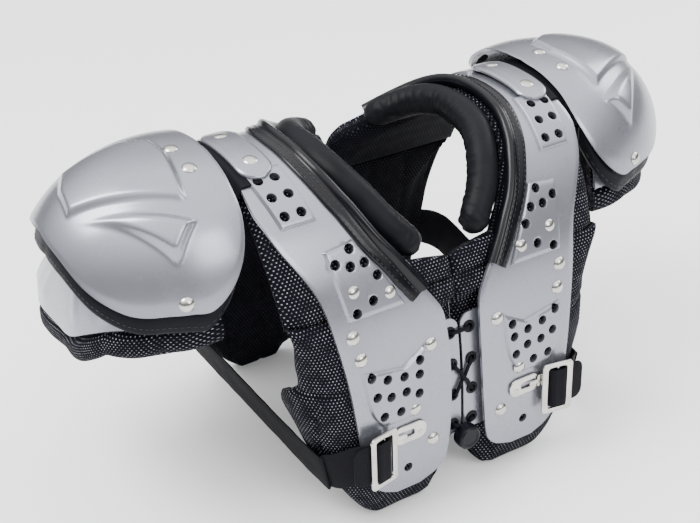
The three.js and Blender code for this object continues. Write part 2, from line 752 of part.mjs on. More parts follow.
// The lace's route as rows of x, distance along and lift; over is in front of the flange
function laceRoute() {
  const { firstEyelet, pitch, eyeletOut: out, wall: thickness, inset } = FLANGE;
  const face = -(ARCH.wall + 3 * GAP) - inset;
  const over = face + LACE.diameter / 2 + 2 * GAP;
  const inside = face - thickness / 2 - GAP;
  const under = face - thickness - LACE.diameter / 2 - 6 * GAP;
  const row = (i) => firstEyelet + i * pitch;
  const half = (side, high) => [
    [side * (out - 5), row(0), over], [side * (out - 2), row(0), over],
    [side * out, row(0), inside], [side * out, row(0) + 2.5, under],
    [side * out, row(1) - 2.5, under], [side * out, row(1), inside],
    [side * (out - 1.5), row(1) + 2, over], [side * (out - 4.5), row(1) + 6, over],
    [side * 2, row(1) + pitch * 0.42, over + high], [-side * 2, row(1) + pitch * 0.58, over + high],
    [-side * (out - 4.5), row(2) - 6, over], [-side * (out - 1.5), row(2) - 2, over],
    [-side * out, row(2), inside], [-side * out, row(2) + 2.5, under],
    [-side * out, row(3) - 2.5, under], [-side * out, row(3), inside],
    [-side * (out - 1.5), row(3) + 1, over], [-side * (out - 4), row(3) + 2, over],
  ];
  return [...half(1, 0).reverse(), ...half(-1, 3.6)];
}

function tube(points, radius, sides) {
  const last = points.length - 1;
  let side = new THREE.Vector3(0, 0, 1);
  return loft(points.map((p, i) => {
    const tangent = points[Math.min(i + 1, last)].clone().sub(points[Math.max(i - 1, 0)]).normalize();
    side = side.clone().addScaledVector(tangent, -side.dot(tangent)).normalize();
    const other = tangent.clone().cross(side);
    return circle(radius, sides).map(([a, b]) => p.clone().addScaledVector(side, a).addScaledVector(other, b));
  }));
}

function lace() {
  const points = laceRoute().map(([x, along, lift]) => onArch(x, -along, lift));
  return tube(points, LACE.diameter / 2, LACE.sides);
}

const LOCK_ALONG = FLANGE.firstEyelet + 3 * FLANGE.pitch + 13;

function laceLock() {
  const radius = LOCK.diameter / 2;
  const points = [
    new THREE.Vector2(0, 0), new THREE.Vector2(radius - LOCK.lip, 0), new THREE.Vector2(radius, LOCK.lip),
    new THREE.Vector2(radius, LOCK.height - LOCK.lip), new THREE.Vector2(radius - LOCK.lip, LOCK.height),
    new THREE.Vector2(0, LOCK.height),
  ];
  const turn = new THREE.Quaternion().setFromUnitVectors(new THREE.Vector3(0, 1, 0), archNormal(-LOCK_ALONG));
  const seat = onArch(0, -LOCK_ALONG, -(ARCH.wall + 3 * GAP) - FLANGE.inset + 2 * GAP);
  return new THREE.LatheGeometry(points, 12)
    .applyMatrix4(new THREE.Matrix4().compose(seat, turn, new THREE.Vector3(1, 1, 1)));
}

// Flat metal on the chest plate: a shape drawn in x and distance along, at a lift
function onChest(shape, x, along, lift, thickness, tilt = 0) {
  const geometry = new THREE.ExtrudeGeometry(shape, { depth: thickness, bevelEnabled: false, curveSegments: 1 });
  const up = onArch(0, -(along - 1), 0).sub(onArch(0, -(along + 1), 0)).normalize();
  const out = archNormal(-along);
  const basis = new THREE.Matrix4().makeBasis(new THREE.Vector3(1, 0, 0), up, out);
  basis.setPosition(onArch(x, -along, lift));
  return geometry.rotateY(-tilt).applyMatrix4(basis);
}

function roundedRectangle(left, bottom, width, height, radius) {
  const shape = new THREE.Shape();
  shape.moveTo(left + radius, bottom);
  shape.lineTo(left + width - radius, bottom);
  shape.absarc(left + width - radius, bottom + radius, radius, -Math.PI / 2, 0, false);
  shape.lineTo(left + width, bottom + height - radius);
  shape.absarc(left + width - radius, bottom + height - radius, radius, 0, Math.PI / 2, false);
  shape.lineTo(left + radius, bottom + height);
  shape.absarc(left + radius, bottom + height - radius, radius, Math.PI / 2, Math.PI, false);
  shape.lineTo(left, bottom + radius);
  shape.absarc(left + radius, bottom + radius, radius, Math.PI, 1.5 * Math.PI, false);
  return shape;
}

const LAYERS = { hook: 2 * GAP, strand: 2 * GAP, tail: 3 * GAP + BELT.thickness };
LAYERS.frame = LAYERS.tail + BELT.thickness + 2 * GAP;

function hookPlate() {
  const { length, height, wall: thickness, slotLength, slotHeight, above, x } = HOOK;
  const shape = roundedRectangle(0, -height / 2, length, height, 8);
  shape.holes.push(roundedRectangle(length - slotLength - 4, -slotHeight / 2, slotLength, slotHeight, 2));
  return onChest(shape, x, METAL_ALONG - above, LAYERS.hook, thickness);
}

// The frame, its centre bar, and the tongue that goes down through the hook plate's slot
function buckleFrame() {
  const { width, height, wall: thickness, side, rail, bar, tongue, x, tilt } = BUCKLE;
  const { above } = HOOK;
  const shape = roundedRectangle(0, -height / 2, width, height, 4);
  const half = (width - 2 * side - bar) / 2;
  for (const left of [side, side + half + bar]) {
    shape.holes.push(roundedRectangle(left, rail - height / 2, half, height - 2 * rail, 1));
  }
  const frame = onChest(shape, x, METAL_ALONG, LAYERS.frame, thickness, tilt);
  const arm = roundedRectangle(-tongue, -2.5, tongue + 3, 5, 1);
  const tip = roundedRectangle(-tongue, -2.5, 3, 5, 0.6);
  return combine(frame, [
    onChest(arm, x, METAL_ALONG - above, LAYERS.frame, thickness),
    onChest(tip, x, METAL_ALONG - above, LAYERS.hook + 1.2, LAYERS.frame - LAYERS.hook),
  ], []);
}

// Belt

function belt() {
  const half = BELT.thickness / 2;
  const { x: start, width, side, bar, wall: metal, tilt } = BUCKLE;
  const outside = start + width;
  const centre = start + width / 2;
  const off = (x) => Math.max(x - start, 0) * Math.tan(tilt);
  const below = (x, layer) => LAYERS.frame + off(x) - layer * (BELT.thickness + GAP) + half;
  const over = LAYERS.frame + off(centre) + metal + half + 3 * GAP;
  const front = [
    { x: outside + BELT.tab, lift: below(outside, 1) - 1.5 },
    { x: outside, lift: below(outside, 1) - GAP },
    { x: outside - side, lift: below(outside - side, 1) - GAP },
    { x: centre + bar / 2 + half + 2 * GAP, lift: below(centre, 1) + 1 },
    { x: centre + bar / 2 + half, lift: over },
    { x: centre - bar / 2 - half - 4 * GAP, lift: over - GAP },
    { x: centre - bar / 2 - half - 5 * GAP, lift: below(centre, 1) - 0.6 },
    { x: centre + bar / 2, lift: below(centre, 2) - GAP },
    { x: outside, lift: below(outside, 2) - 2 * GAP },
    { x: outside + 7, lift: 4 },
  ].map(({ x, lift }) => {
    const up = onArch(0, -(METAL_ALONG - 1), 0).sub(onArch(0, -(METAL_ALONG + 1), 0)).normalize();
    return { middle: onArch(x, -METAL_ALONG, lift), up };
  });
  const leaning = new THREE.Vector3(BELT.lean / BELT.width, 0, 1).normalize();
  const round = BELT_SIDE.map(({ x, y, z }) => ({ middle: new THREE.Vector3(x, y, z), up: leaning }));
  const backUp = onArch(0, BELT.backAlong - 1, 0).sub(onArch(0, BELT.backAlong + 1, 0)).normalize();
  const back = [outside, BELT.backEnd].map((x) => ({
    middle: onArch(x, BELT.backAlong, half + 3 * GAP), up: backUp,
  }));
  const placed = [...front, ...round, ...back];
  const last = placed.length - 1;
  return loft(placed.map(({ middle, up }, i) => {
    const before = placed[Math.max(i - 1, 0)].middle;
    const after = placed[Math.min(i + 1, last)].middle;
    const across = after.clone().sub(before).cross(up).normalize();
    const corner = (u, o) => middle.clone().addScaledVector(up, (u * BELT.width) / 2).addScaledVector(across, o);
    return [corner(1, half), corner(-1, half), corner(-1, -half), corner(1, -half)];
  }));
}

// Assembly

const shoulderPads = new THREE.Group();
const material = (name) => new THREE.MeshStandardMaterial(COLOURS[name]);

function addPiece(name, geometry, finish) {
  const mesh = new THREE.Mesh(geometry, material(finish));
  mesh.name = name;
  shoulderPads.add(mesh);
}

function mirrored(geometry) {
  const copy = geometry.clone().applyMatrix4(new THREE.Matrix4().makeScale(-1, 1, 1));
  if (!copy.index) return mirrored(mergeVertices(geometry));
  return flip(copy);
}

function addPair(name, geometry, finish) {
  addPiece(`${name}_left`, geometry, finish);
  addPiece(`${name}_right`, mirrored(geometry), finish);
}

addPair('arch_shell', archShell(), 'shell');
addPair('neck_trim', neckTrim(), 'vinyl');
addPair('neck_roll', neckRoll(), 'nylon');
addPair('shoulder_pad', shoulderPad(), 'mesh');
addPair('chest_pad', bodyPad(-1), 'mesh');
addPair('back_pad', bodyPad(1), 'mesh');
const cap = epaulet();
addPair('epaulet', cap, 'shell');
addPair('epaulet_binding', epauletBinding(), 'vinyl');
addPair('cup', cupWall(CUP.wall, 0, cupLevels), 'shell');
addPair('cup_pad', cupPad(), 'mesh');
const strapPlateSolid = strapPlate();
addPair('strap_plate', strapPlateSolid, 'shell');
addPair('hinge_strap', hingeStrap(), 'webbing');
addPair('strap_rivet_front', strapRivet(strapPlateSolid, -1), 'nickel');
addPair('strap_rivet_back', strapRivet(strapPlateSolid, 1), 'nickel');
addPair('cap_rivet_front', capRivet(cap, 194, -17), 'nickel');
addPair('cap_rivet_back', capRivet(cap, 194, 17), 'nickel');
addPair('cap_rivet_low', capRivet(cap, 235, -85), 'nickel');
addPair('front_flange', flange(), 'shell');
addPair('back_flange', mirroredBack(flange()), 'shell');
addPair('hook_plate', hookPlate(), 'nickel');
addPair('buckle', buckleFrame(), 'nickel');
addPair('belt', belt(), 'webbing');
addPiece('front_lace', lace(), 'lace');
addPiece('back_lace', mirroredBack(lace()), 'lace');
addPiece('lace_lock', laceLock(), 'lace');

// The origin is under the middle of the whole
const span = new THREE.Box3().setFromObject(shoulderPads);
const middle = (span.min.y + span.max.y) / 2;
for (const piece of shoulderPads.children) piece.geometry.translate(0, -middle, 0);

export default shoulderPads;
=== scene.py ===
"""A football shoulder pad, dressed over its solids.

Shapes are worked out in millimetres and made in metres. X points to the wearer's left, Y to the back
and Z up. Distances named along run over the arch plate from the top of the shoulder: negative is the
front. A lift is outward from the plate's outer face.
"""

import math
from bisect import bisect_right
from functools import partial

import bmesh
import bpy
from mathutils import Matrix, Vector, noise


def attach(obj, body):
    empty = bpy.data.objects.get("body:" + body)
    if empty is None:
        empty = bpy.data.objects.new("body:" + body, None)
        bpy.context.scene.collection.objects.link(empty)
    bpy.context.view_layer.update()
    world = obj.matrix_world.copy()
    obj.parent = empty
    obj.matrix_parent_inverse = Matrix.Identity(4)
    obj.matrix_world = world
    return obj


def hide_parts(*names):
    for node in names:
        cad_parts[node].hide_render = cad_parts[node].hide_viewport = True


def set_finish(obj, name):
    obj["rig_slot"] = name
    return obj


MM = 0.001
SETBACK = 5.85  # the whole sits this far back, so that the origin is under its middle
HALF_DEPTH = 150.0
HEIGHT = 321.0
ROUNDNESS = 2.42
PLATE = 3.0

LOWER_EDGES = [  # along, inner x, outer x
    (240, 17, 119), (285, 17.5, 114), (325, 20, 108), (338, 22, 105), (349, 26, 98.5), (357, 35, 89.5),
    (363, 52, 76),
]
FRONT_EDGES = [
    (0, 100, 163), (40, 97.5, 163.5), (72, 89.5, 165), (88, 83, 161.5), (106, 75.5, 156), (121, 68, 149),
    (137, 57.5, 141), (154, 47, 134), (172, 35.4, 129.5), (194, 21.5, 126), (206, 18.5, 124),
] + LOWER_EDGES
BACK_EDGES = [
    (0, 100, 163), (22, 98.5, 163), (44, 92.5, 164), (62, 84, 165), (77, 73, 164), (89, 61, 161.5),
    (98, 50, 158.5), (110, 34, 154), (123, 18, 148), (137, 17, 141), (172, 17, 129.5),
] + LOWER_EDGES
NECK_FRONT = -172.0
NECK_BACK = 110.0

PANELS = [  # rows of along, inner x, outer x, and how far the top edge dips at shares of its width
    {"rows": [(32, 121, 158), (60, 119, 155), (93, 115, 149)], "dips": [(0, 0), (1, 0)]},
    {"rows": [(114, 91.5, 121.5), (150, 70.8, 117.5), (182, 54.5, 112.5)], "dips": [(0, 0), (1, 4)]},
    {"rows": [(219, 42, 108), (250, 43, 105), (272, 48, 100.5), (287, 60, 90)],
     "dips": [(0, 0), (0.38, 16), (1, 8)]},
]
# Holes and rivets: x, along
UPPER_HOLES = [(133, 46.5), (148.4, 46.5), (129.7, 64.3), (145.1, 64.3), (126.4, 82.1), (141.8, 82.1)]
MIDDLE_HOLES = [(97.3, 121.6), (113.4, 131), (100.5, 136), (87, 136), (78, 149), (86.6, 168.5), (103.7, 175)]
LOWER_HOLES = [
    (50, 234), (51.5, 247), (53, 265), (67, 244), (66, 259), (83.8, 241), (81.5, 258.5), (72.6, 276),
    (99, 234.6), (95.2, 254), (89.6, 275),
]
CHEST_HOLES = UPPER_HOLES + MIDDLE_HOLES + LOWER_HOLES + [(64.7, 340)]
HOLE_DIAMETER = 9.0
CHEST_RIVETS = [
    (103, 156.9), (69.7, 166.4), (109.9, 195), (105.3, 216.4), (35.9, 225), (57.5, 280), (37.9, 320),
]

SHOULDER_PAD = [  # along, outer x
    (-172, 163), (-121, 166), (-40, 167), (-20, 174), (0, 180), (44, 178), (98, 168), (172, 163),
]
COLLAR = [(-172, 6), (-154, 36), (-137, 100), (89, 100), (98, 44), (110, 14), (123, 4)]
BODY_PAD = [  # along, inner x, outer at the chest, outer at the back, where the side turns, sink
    (178, 3, 164, 164, 160, 0), (194, 2, 164, 158, 138, 0), (222, 1, 170, 153, 121, 0),
    (240, 0, 172, 151, 118, 0), (262, 0, 205, 150, 116, 0), (280, 0, 219, 148, 112, 0),
    (300, 0, 203, 145, 105, 0), (320, 1, 162, 142, 100, 0), (349, 6, 137, 137, 95, 1),
    (368, 15, 121, 121, 92, 3.5), (384, 27, 106, 106, 88, 7), (393.3, 41, 90, 90, 84, 11),
]
CURL_RADIUS = 44.0

CAP_X, CAP_Y = 240.0, 14.0
CAP_PLAN = [
    (0, 72.3), (22, 75.8), (43, 83), (62, 88.7), (82, 95.5), (94, 102), (104, 109), (114, 112.8),
    (122, 111.6), (130, 104.3), (142, 88.4), (159, 76), (180, 71),
]
DOME_X, DOME_Y, DOME_BASE = 200.0, 18.0, 153.0
DOME_HALF_X, DOME_HALF_Y, DOME_RISE = 145.4, 119.5, 177.9
DOME_PLAN_POWER, DOME_RISE_POWER = 1.9, 2.703
# The cup's lower edge: degrees round the shoulder, height
HEM = [(-92, 221), (-60, 221), (-38, 219), (-15, 206), (5, 192), (30, 183), (48, 184), (70, 202), (92, 224)]
CUP_TOP_HEIGHT, CUP_HEM_HEIGHT = 248.0, 205.0  # between them the plan turns from round to squarish
CUP_X, CUP_Y, CUP_RISE, CUP_POWER = 200, 14, 158, 2.7
CUP_OUT, CUP_FRONT, CUP_BACK = 107, 90.0, 98.0

EYELETS = [226 + 31.4 * i for i in range(4)]
EYELET_X = 10.3
FLANGE_LIFT = -7.9
METAL_ALONG = 312.0
BUCKLE_X, BUCKLE_LIFT, BUCKLE_THICK, BUCKLE_TILT = 81.0, 5.1, 2.6, 0.2
# The middle of the belt on its way round the side: x, y, z
BELT_SIDE = [(130, -139, 72), (137, -130, 68.5), (141, -118, 67), (151, 0, 80.5), (159, 95, 92),
             (158, 118, 94.5), (151, 134, 95), (138, 146, 95)]

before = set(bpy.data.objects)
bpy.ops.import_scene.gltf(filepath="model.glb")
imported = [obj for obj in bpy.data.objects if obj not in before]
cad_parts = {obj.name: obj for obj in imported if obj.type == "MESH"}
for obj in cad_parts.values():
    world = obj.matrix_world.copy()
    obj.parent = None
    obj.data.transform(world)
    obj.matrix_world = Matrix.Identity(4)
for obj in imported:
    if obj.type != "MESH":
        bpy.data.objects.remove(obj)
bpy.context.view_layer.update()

TO_SCENE = Matrix.Translation((0, SETBACK * MM, 0)) @ Matrix.Scale(MM, 4)


# Numbers along tables, and the arch's profile

def read(table, at, column=1):
    """A smooth value of a table's column, through its rows."""
    last = len(table) - 1
    if at <= table[0][0]:
        return table[0][column]
    if at >= table[last][0]:
        return table[last][column]
    i = 0
    while table[i + 1][0] < at:
        i += 1

    def slope(k):
        a, b = table[max(k - 1, 0)], table[min(k + 1, last)]
        return (b[column] - a[column]) / (b[0] - a[0])

    width = table[i + 1][0] - table[i][0]
    t = (at - table[i][0]) / width
    rise = table[i + 1][column] - table[i][column]
    m0, m1 = slope(i) * width, slope(i + 1) * width
    return table[i][column] + t * m0 + t * t * (3 * rise - 2 * m0 - m1) + t ** 3 * (m0 + m1 - 2 * rise)


def clamp(value, low=0.0, high=1.0):
    return max(low, min(high, value))


def ease(value, start, end):
    t = clamp((value - start) / (end - start))
    return t * t * (3 - 2 * t)


def profile_table(steps=2400):
    rows = [(0.0, 0.0, HEIGHT)]
    for i in range(1, steps + 1):
        angle = math.pi / 2 * i / steps
        depth = HALF_DEPTH * math.sin(angle) ** (2 / ROUNDNESS)
        height = HEIGHT * max(math.cos(angle), 0.0) ** (2 / ROUNDNESS)
        step = math.hypot(depth - rows[-1][1], height - rows[-1][2])
        rows.append((rows[-1][0] + step, depth, height))
    return rows


PROFILE = profile_table()
DISTANCES = [row[0] for row in PROFILE]


def profile_at(along):
    distance = min(abs(along), DISTANCES[-1])
    low = min(bisect_right(DISTANCES, distance), len(PROFILE) - 1) - 1
    a, b = PROFILE[low], PROFILE[low + 1]
    share = (distance - a[0]) / (b[0] - a[0])
    return a[1] + share * (b[1] - a[1]), a[2] + share * (b[2] - a[2])


def arch_normal(along):
    depth, height = profile_at(along)
    side = -1 if along < 0 else 1
    power = ROUNDNESS - 1
    out = Vector((0, side * (depth / HALF_DEPTH) ** power / HALF_DEPTH, (height / HEIGHT) ** power / HEIGHT))
    return out.normalized()


def on_arch(x, along, lift=0.0):
    depth, height = profile_at(along)
    side = -1 if along < 0 else 1
    return Vector((x, side * depth, height)) + arch_normal(along) * lift


def edges_at(along):
    table = FRONT_EDGES if along < 0 else BACK_EDGES
    return read(table, abs(along), 1), read(table, abs(along), 2)


def beside_neck(along, distance, lift):
    """A point beside the plate's neck edge: distance is into the plate."""
    before, after = edges_at(along - 5)[0], edges_at(along + 5)[0]
    tangent = Vector((after - before, 10.0)).normalized()
    return on_arch(edges_at(along)[0] + tangent.y * distance, along - tangent.x * distance, lift)


# Making pieces

def new_object(name, data):
    thing = bpy.data.objects.new(name, data)
    bpy.context.scene.collection.objects.link(thing)
    return thing


def finished(bm, name, finish, slot, replaces=(), smooth=40):
    """Puts a mesh made in millimetres into the scene as a piece that rides on the part."""
    bm.transform(TO_SCENE)
    mesh = bpy.data.meshes.new(name)
    bm.to_mesh(mesh)
    bm.free()
    mesh.polygons.foreach_set("use_smooth", [True] * len(mesh.polygons))
    mesh.set_sharp_from_angle(angle=math.radians(smooth))
    piece = new_object(name, mesh)
    mesh.materials.append(finish)
    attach(piece, "root")
    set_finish(piece, slot)
    if replaces:
        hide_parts(*replaces)
    return piece


def applied(piece):
    """Keeps what the piece's modifiers make, and drops the modifiers."""
    graph = bpy.context.evaluated_depsgraph_get()
    mesh = bpy.data.meshes.new_from_object(piece.evaluated_get(graph))
    piece.modifiers.clear()
    piece.data = mesh
    return piece


def around(section, u):
    """The point of a closed outline at a share of the way through its list."""
    return section[round(u * len(section)) % len(section)]


def loft(columns, rows, place, lay=None):
    """A closed mesh laid over place(u, v): points that meet are merged, and open ends are filled."""
    bm = bmesh.new()
    bmesh.ops.create_grid(bm, x_segments=columns, y_segments=rows, size=0.5)
    laid = bm.loops.layers.uv.new("UVMap")
    where = {}
    for vert in bm.verts:
        where[vert] = (vert.co.x + 0.5, vert.co.y + 0.5)
    for face in bm.faces:
        for loop in face.loops:
            u, v = where[loop.vert]
            loop[laid].uv = lay(u, v) if lay else (u, v)
    for vert, (u, v) in where.items():
        vert.co = place(u, v)
    bmesh.ops.remove_doubles(bm, verts=bm.verts, dist=0.001)
    rims = [edge for edge in bm.edges if edge.is_boundary]
    if rims:
        bmesh.ops.holes_fill(bm, edges=rims, sides=0)
    bmesh.ops.recalc_face_normals(bm, faces=bm.faces)
    return bm


LINING = 4.0  # added to the second pattern coordinate on faces that are turned to the wearer


def wall(columns, rows, outer, inner, lay=None):
    """A closed wall between two faces, each given as a function of u and v."""
    count = 2 * columns + 2

    def spread(u, v):
        i = round(u * count)
        if i <= columns:
            return outer(i / columns, v)
        if i == count:
            return outer(0.0, v)
        return inner((count - 1 - i) / columns, v)

    def lay_spread(u, v):
        i = round(u * count)
        if i <= columns:
            return lay(i / columns, v)
        if i == count:
            return lay(0.0, v)
        a, b = lay((count - 1 - i) / columns, v)
        return a, b + LINING

    return loft(count, rows, spread, lay_spread if lay else None)


def mirrored(bm):
    """A copy of a mesh on the other side of the body."""
    copy = bm.copy()
    copy.transform(Matrix.Diagonal((-1, 1, 1, 1)))
    bmesh.ops.reverse_faces(copy, faces=copy.faces)
    return copy


def pair(bm, name, finish, slot, nodes=None, smooth=40):
    """A piece for the wearer's left and its mirror image, which replace the named nodes or their own."""
    other = mirrored(bm)
    nodes = [name] if nodes is None else nodes
    left = finished(bm, name + "_left_look", finish, slot, [node + "_left" for node in nodes], smooth)
    right = finished(other, name + "_right_look", finish, slot, [node + "_right" for node in nodes], smooth)
    return left, right


def joined(*meshes):
    """Several meshes in one, without welding them."""
    whole = meshes[0]
    for bm in meshes[1:]:
        spare = bpy.data.meshes.new("spare")
        bm.to_mesh(spare)
        whole.from_mesh(spare)
        bpy.data.meshes.remove(spare)
        bm.free()
    return whole


def facing(at, normal):
    """A frame at a point whose Z looks along normal."""
    z = normal.normalized()
    x = Vector((0, 0, 1)).cross(z)
    x = x.normalized() if x.length > 0.1 else Vector((1, 0, 0))
    y = z.cross(x)
    turn = Matrix((x, y, z)).transposed().to_4x4()
    return Matrix.Translation(at) @ turn


def turned(profile, steps, matrix):
    """A round form: radius and height points spun about the frame's Z."""
    bm = bmesh.new()
    verts = [bm.verts.new((r, 0, h)) for r, h in profile]
    edges = [bm.edges.new(two) for two in zip(verts, verts[1:])]
    bmesh.ops.spin(bm, geom=verts + edges, cent=(0, 0, 0), axis=(0, 0, 1), angle=2 * math.pi, steps=steps,
                   use_merge=True)
    bmesh.ops.remove_doubles(bm, verts=bm.verts, dist=0.001)
    bmesh.ops.recalc_face_normals(bm, faces=bm.faces)
    bm.transform(matrix)
    return bm


def dome_rivet(at, normal, radius=6.3, height=3.2, brim=0.6):
    steps = [(0.0, height)] + [
        (radius * 0.92 * math.sin(a * math.pi / 12), brim + (height - brim) * math.cos(a * math.pi / 12))
        for a in range(1, 6)
    ] + [(radius * 0.95, brim), (radius, brim * 0.6), (radius, -0.6), (0.0, -0.6)]
    return turned(steps, 28, facing(at, normal))


def cut_with(piece, cutter):
    """Takes a cutter's solid out of a piece."""
    mesh = bpy.data.meshes.new("cutter")
    cutter.transform(TO_SCENE)
    cutter.to_mesh(mesh)
    cutter.free()
    tool = new_object("cutter", mesh)
    cut = piece.modifiers.new("cut", "BOOLEAN")
    cut.operation = "DIFFERENCE"
    cut.solver = "EXACT"
    cut.object = tool
    applied(piece)
    bpy.data.objects.remove(tool)
    bpy.data.meshes.remove(mesh)
    return piece


def softened(piece, width, segments=2, angle=45):
    """Rounds a piece's sharp edges by a width in millimetres."""
    bevel = piece.modifiers.new("edges", "BEVEL")
    bevel.width = width * MM
    bevel.segments = segments
    bevel.limit_method = "ANGLE"
    bevel.angle_limit = math.radians(angle)
    bevel.harden_normals = False
    applied(piece)
    piece.data.polygons.foreach_set("use_smooth", [True] * len(piece.data.polygons))
    piece.data.set_sharp_from_angle(angle=math.radians(32))
    return piece


def drills(places, diameter, side=-1, depth=14.0):
    """Round cutters that stand on the plate."""
    bm = bmesh.new()
    for x, along in places:
        matrix = facing(on_arch(x, side * along), arch_normal(side * along))
        bmesh.ops.create_cone(bm, cap_ends=True, segments=24, radius1=diameter / 2, radius2=diameter / 2,
                              depth=depth, matrix=matrix)
    return bm


def rough(p, size, seed=0.0):
    """Smooth noise between about -1 and 1 at a point in millimetres."""
    return noise.noise(Vector((p[0] / size + seed, p[1] / size, p[2] / size)))


# Materials

class Wire:
    """A shader socket that can be used in sums."""

    def __init__(self, finish, socket):
        self.finish = finish
        self.socket = socket

    def sum(self, operation, other=None, first=None):
        a, b = (first, self) if first is not None else (self, other)
        inputs = [a] if b is None else [a, b]
        return self.finish.add("ShaderNodeMath", inputs, operation=operation)

    def __add__(self, other):
        return self.sum("ADD", other)

    __radd__ = __add__

    def __mul__(self, other):
        return self.sum("MULTIPLY", other)

    __rmul__ = __mul__

    def __sub__(self, other):
        return self.sum("SUBTRACT", other)

    def __rsub__(self, other):
        return self.sum("SUBTRACT", first=other)

    def __truediv__(self, other):
        return self.sum("DIVIDE", other)

    def part(self):
        return self.sum("FRACT")

    def least(self, other):
        return self.sum("MINIMUM", other)

    def wave(self):
        return self.sum("SINE")


class Finish:
    """A material built from a few nodes."""

    def __init__(self, name, **settings):
        self.material = bpy.data.materials.new(name)
        self.material.use_nodes = True
        self.tree = self.material.node_tree
        self.surface = self.tree.nodes["Principled BSDF"]
        for socket, value in settings.items():
            self.surface.inputs[socket.replace("_", " ")].default_value = value

    def add(self, kind, inputs=(), out=0, **settings):
        node = self.tree.nodes.new(kind)
        for key, value in settings.items():
            setattr(node, key, value)
        pairs = inputs.items() if isinstance(inputs, dict) else enumerate(inputs)
        for key, value in pairs:
            if value is None:
                continue
            if isinstance(value, Wire):
                self.tree.links.new(value.socket, node.inputs[key])
            else:
                node.inputs[key].default_value = value
        return Wire(self, node.outputs[out])

    def feed(self, socket, wire):
        self.tree.links.new(wire.socket, self.surface.inputs[socket])

    def bump(self, height, strength, distance):
        bumped = self.add("ShaderNodeBump", {"Height": height, "Strength": strength, "Distance": distance})
        self.feed("Normal", bumped)

    def noise(self, scale, detail=3.0):
        """Noise in the part's own space, with so many lumps to a metre."""
        source = self.add("ShaderNodeTexCoord", out="Object")
        return self.add("ShaderNodeTexNoise", {"Vector": source, "Scale": scale, "Detail": detail})

    def laid(self):
        """The piece's own UV map, in metres, as two wires."""
        both = self.add("ShaderNodeTexCoord", out="UV")
        split = self.tree.nodes.new("ShaderNodeSeparateXYZ")
        self.tree.links.new(both.socket, split.inputs[0])
        return Wire(self, split.outputs[0]), Wire(self, split.outputs[1])

    def mix(self, factor, a, b):
        node = self.tree.nodes.new("ShaderNodeMix")
        node.data_type = "RGBA"
        self.tree.links.new(factor.socket, node.inputs["Factor"])
        for socket, value in ((node.inputs[6], a), (node.inputs[7], b)):
            if isinstance(value, Wire):
                self.tree.links.new(value.socket, socket)
            else:
                socket.default_value = (*value, 1)
        return Wire(self, node.outputs[2])

    def ramp(self, wire, low, high):
        """0 below low, 1 above high."""
        return self.add("ShaderNodeMapRange", [wire, low, high, 0.0, 1.0], interpolation_type="SMOOTHSTEP")


def silver_plastic():
    f = Finish("silver_plastic", Metallic=0.7, Coat_Weight=0.25, Coat_Roughness=0.2)
    flake = f.noise(2600, 2)
    cloud = f.noise(9, 3)
    tone = f.mix(f.ramp(cloud, 0.3, 0.7), (0.215, 0.221, 0.258), (0.245, 0.251, 0.288))
    tone = f.mix(f.ramp(flake, 0.35, 0.75), tone, (0.29, 0.30, 0.335))
    f.feed("Base Color", tone)
    scuff = f.noise(25, 3)
    f.feed("Roughness", 0.25 + 0.05 * f.ramp(scuff, 0.35, 0.75))
    return f.material


def plain_black(name, shade, roughness, grain, depth, **settings):
    f = Finish(name, **settings)
    cloud = f.noise(40, 4)
    f.feed("Base Color", f.mix(f.ramp(cloud, 0.3, 0.7), shade, tuple(c * 1.5 for c in shade)))
    f.feed("Roughness", roughness + 0.12 * f.ramp(f.noise(90, 4), 0.3, 0.7))
    f.bump(f.noise(grain, 4), depth, 0.0006)
    return f.material


def dotted_mesh():
    """Black knit mesh with a hexagonal field of small pale dots, 3.4 mm apart, faded in patches as painted
    glints.
    """
    f = Finish("dotted_mesh", Specular_IOR_Level=0.06)
    u, v = f.laid()
    pitch, row = 0.0034, 0.0034 * 0.866 * 2

    def reach(shift):
        a = ((u / pitch + shift).part() - 0.5) * (pitch * 1000)
        b = ((v / row + shift).part() - 0.5) * (row * 1000)
        return a * a + b * b

    near = reach(0.0).least(reach(0.5))
    # Painted glints: the pale dots are the knit's own pattern, and noise fades them in patches to stand in
    # for their uneven glints.
    dot = (1.0 - f.ramp(near, 0.08, 0.50)) * (0.25 + 0.75 * f.ramp(f.noise(110, 3), 0.35, 0.62))
    thread = f.noise(1500, 2)
    cloth = f.mix(f.ramp(thread, 0.35, 0.7), (0.0016, 0.0016, 0.0035), (0.005, 0.005, 0.009))
    pale = f.mix(f.ramp(f.noise(200, 3), 0.3, 0.7), (0.19, 0.195, 0.22), (0.31, 0.32, 0.35))
    dot = dot * (1.0 - 0.85 * f.ramp(v, 1.9, 2.1))
    f.feed("Base Color", f.mix(dot, cloth, pale))
    f.feed("Roughness", 0.78 + 0.12 * dot)
    f.bump(1.0 - f.ramp(near, 0.3, 2.6), 0.5, 0.0006)
    return f.material


def woven_band():
    """Ribbed webbing: fine ribs across, crossed by threads along."""
    f = Finish("woven_band", Specular_IOR_Level=0.08)
    u, v = f.laid()
    rib = (v * (2 * math.pi / 0.0014)).wave()
    warp = (u * (2 * math.pi / 0.0022)).wave()
    weave = (rib * 0.6 + warp * 0.4) * 0.5 + 0.5
    f.feed("Base Color", f.mix(weave, (0.0025, 0.0025, 0.0035), (0.009, 0.009, 0.012)))
    f.feed("Roughness", 0.62 + 0.2 * weave)
    f.bump(weave, 0.5, 0.0004)
    return f.material


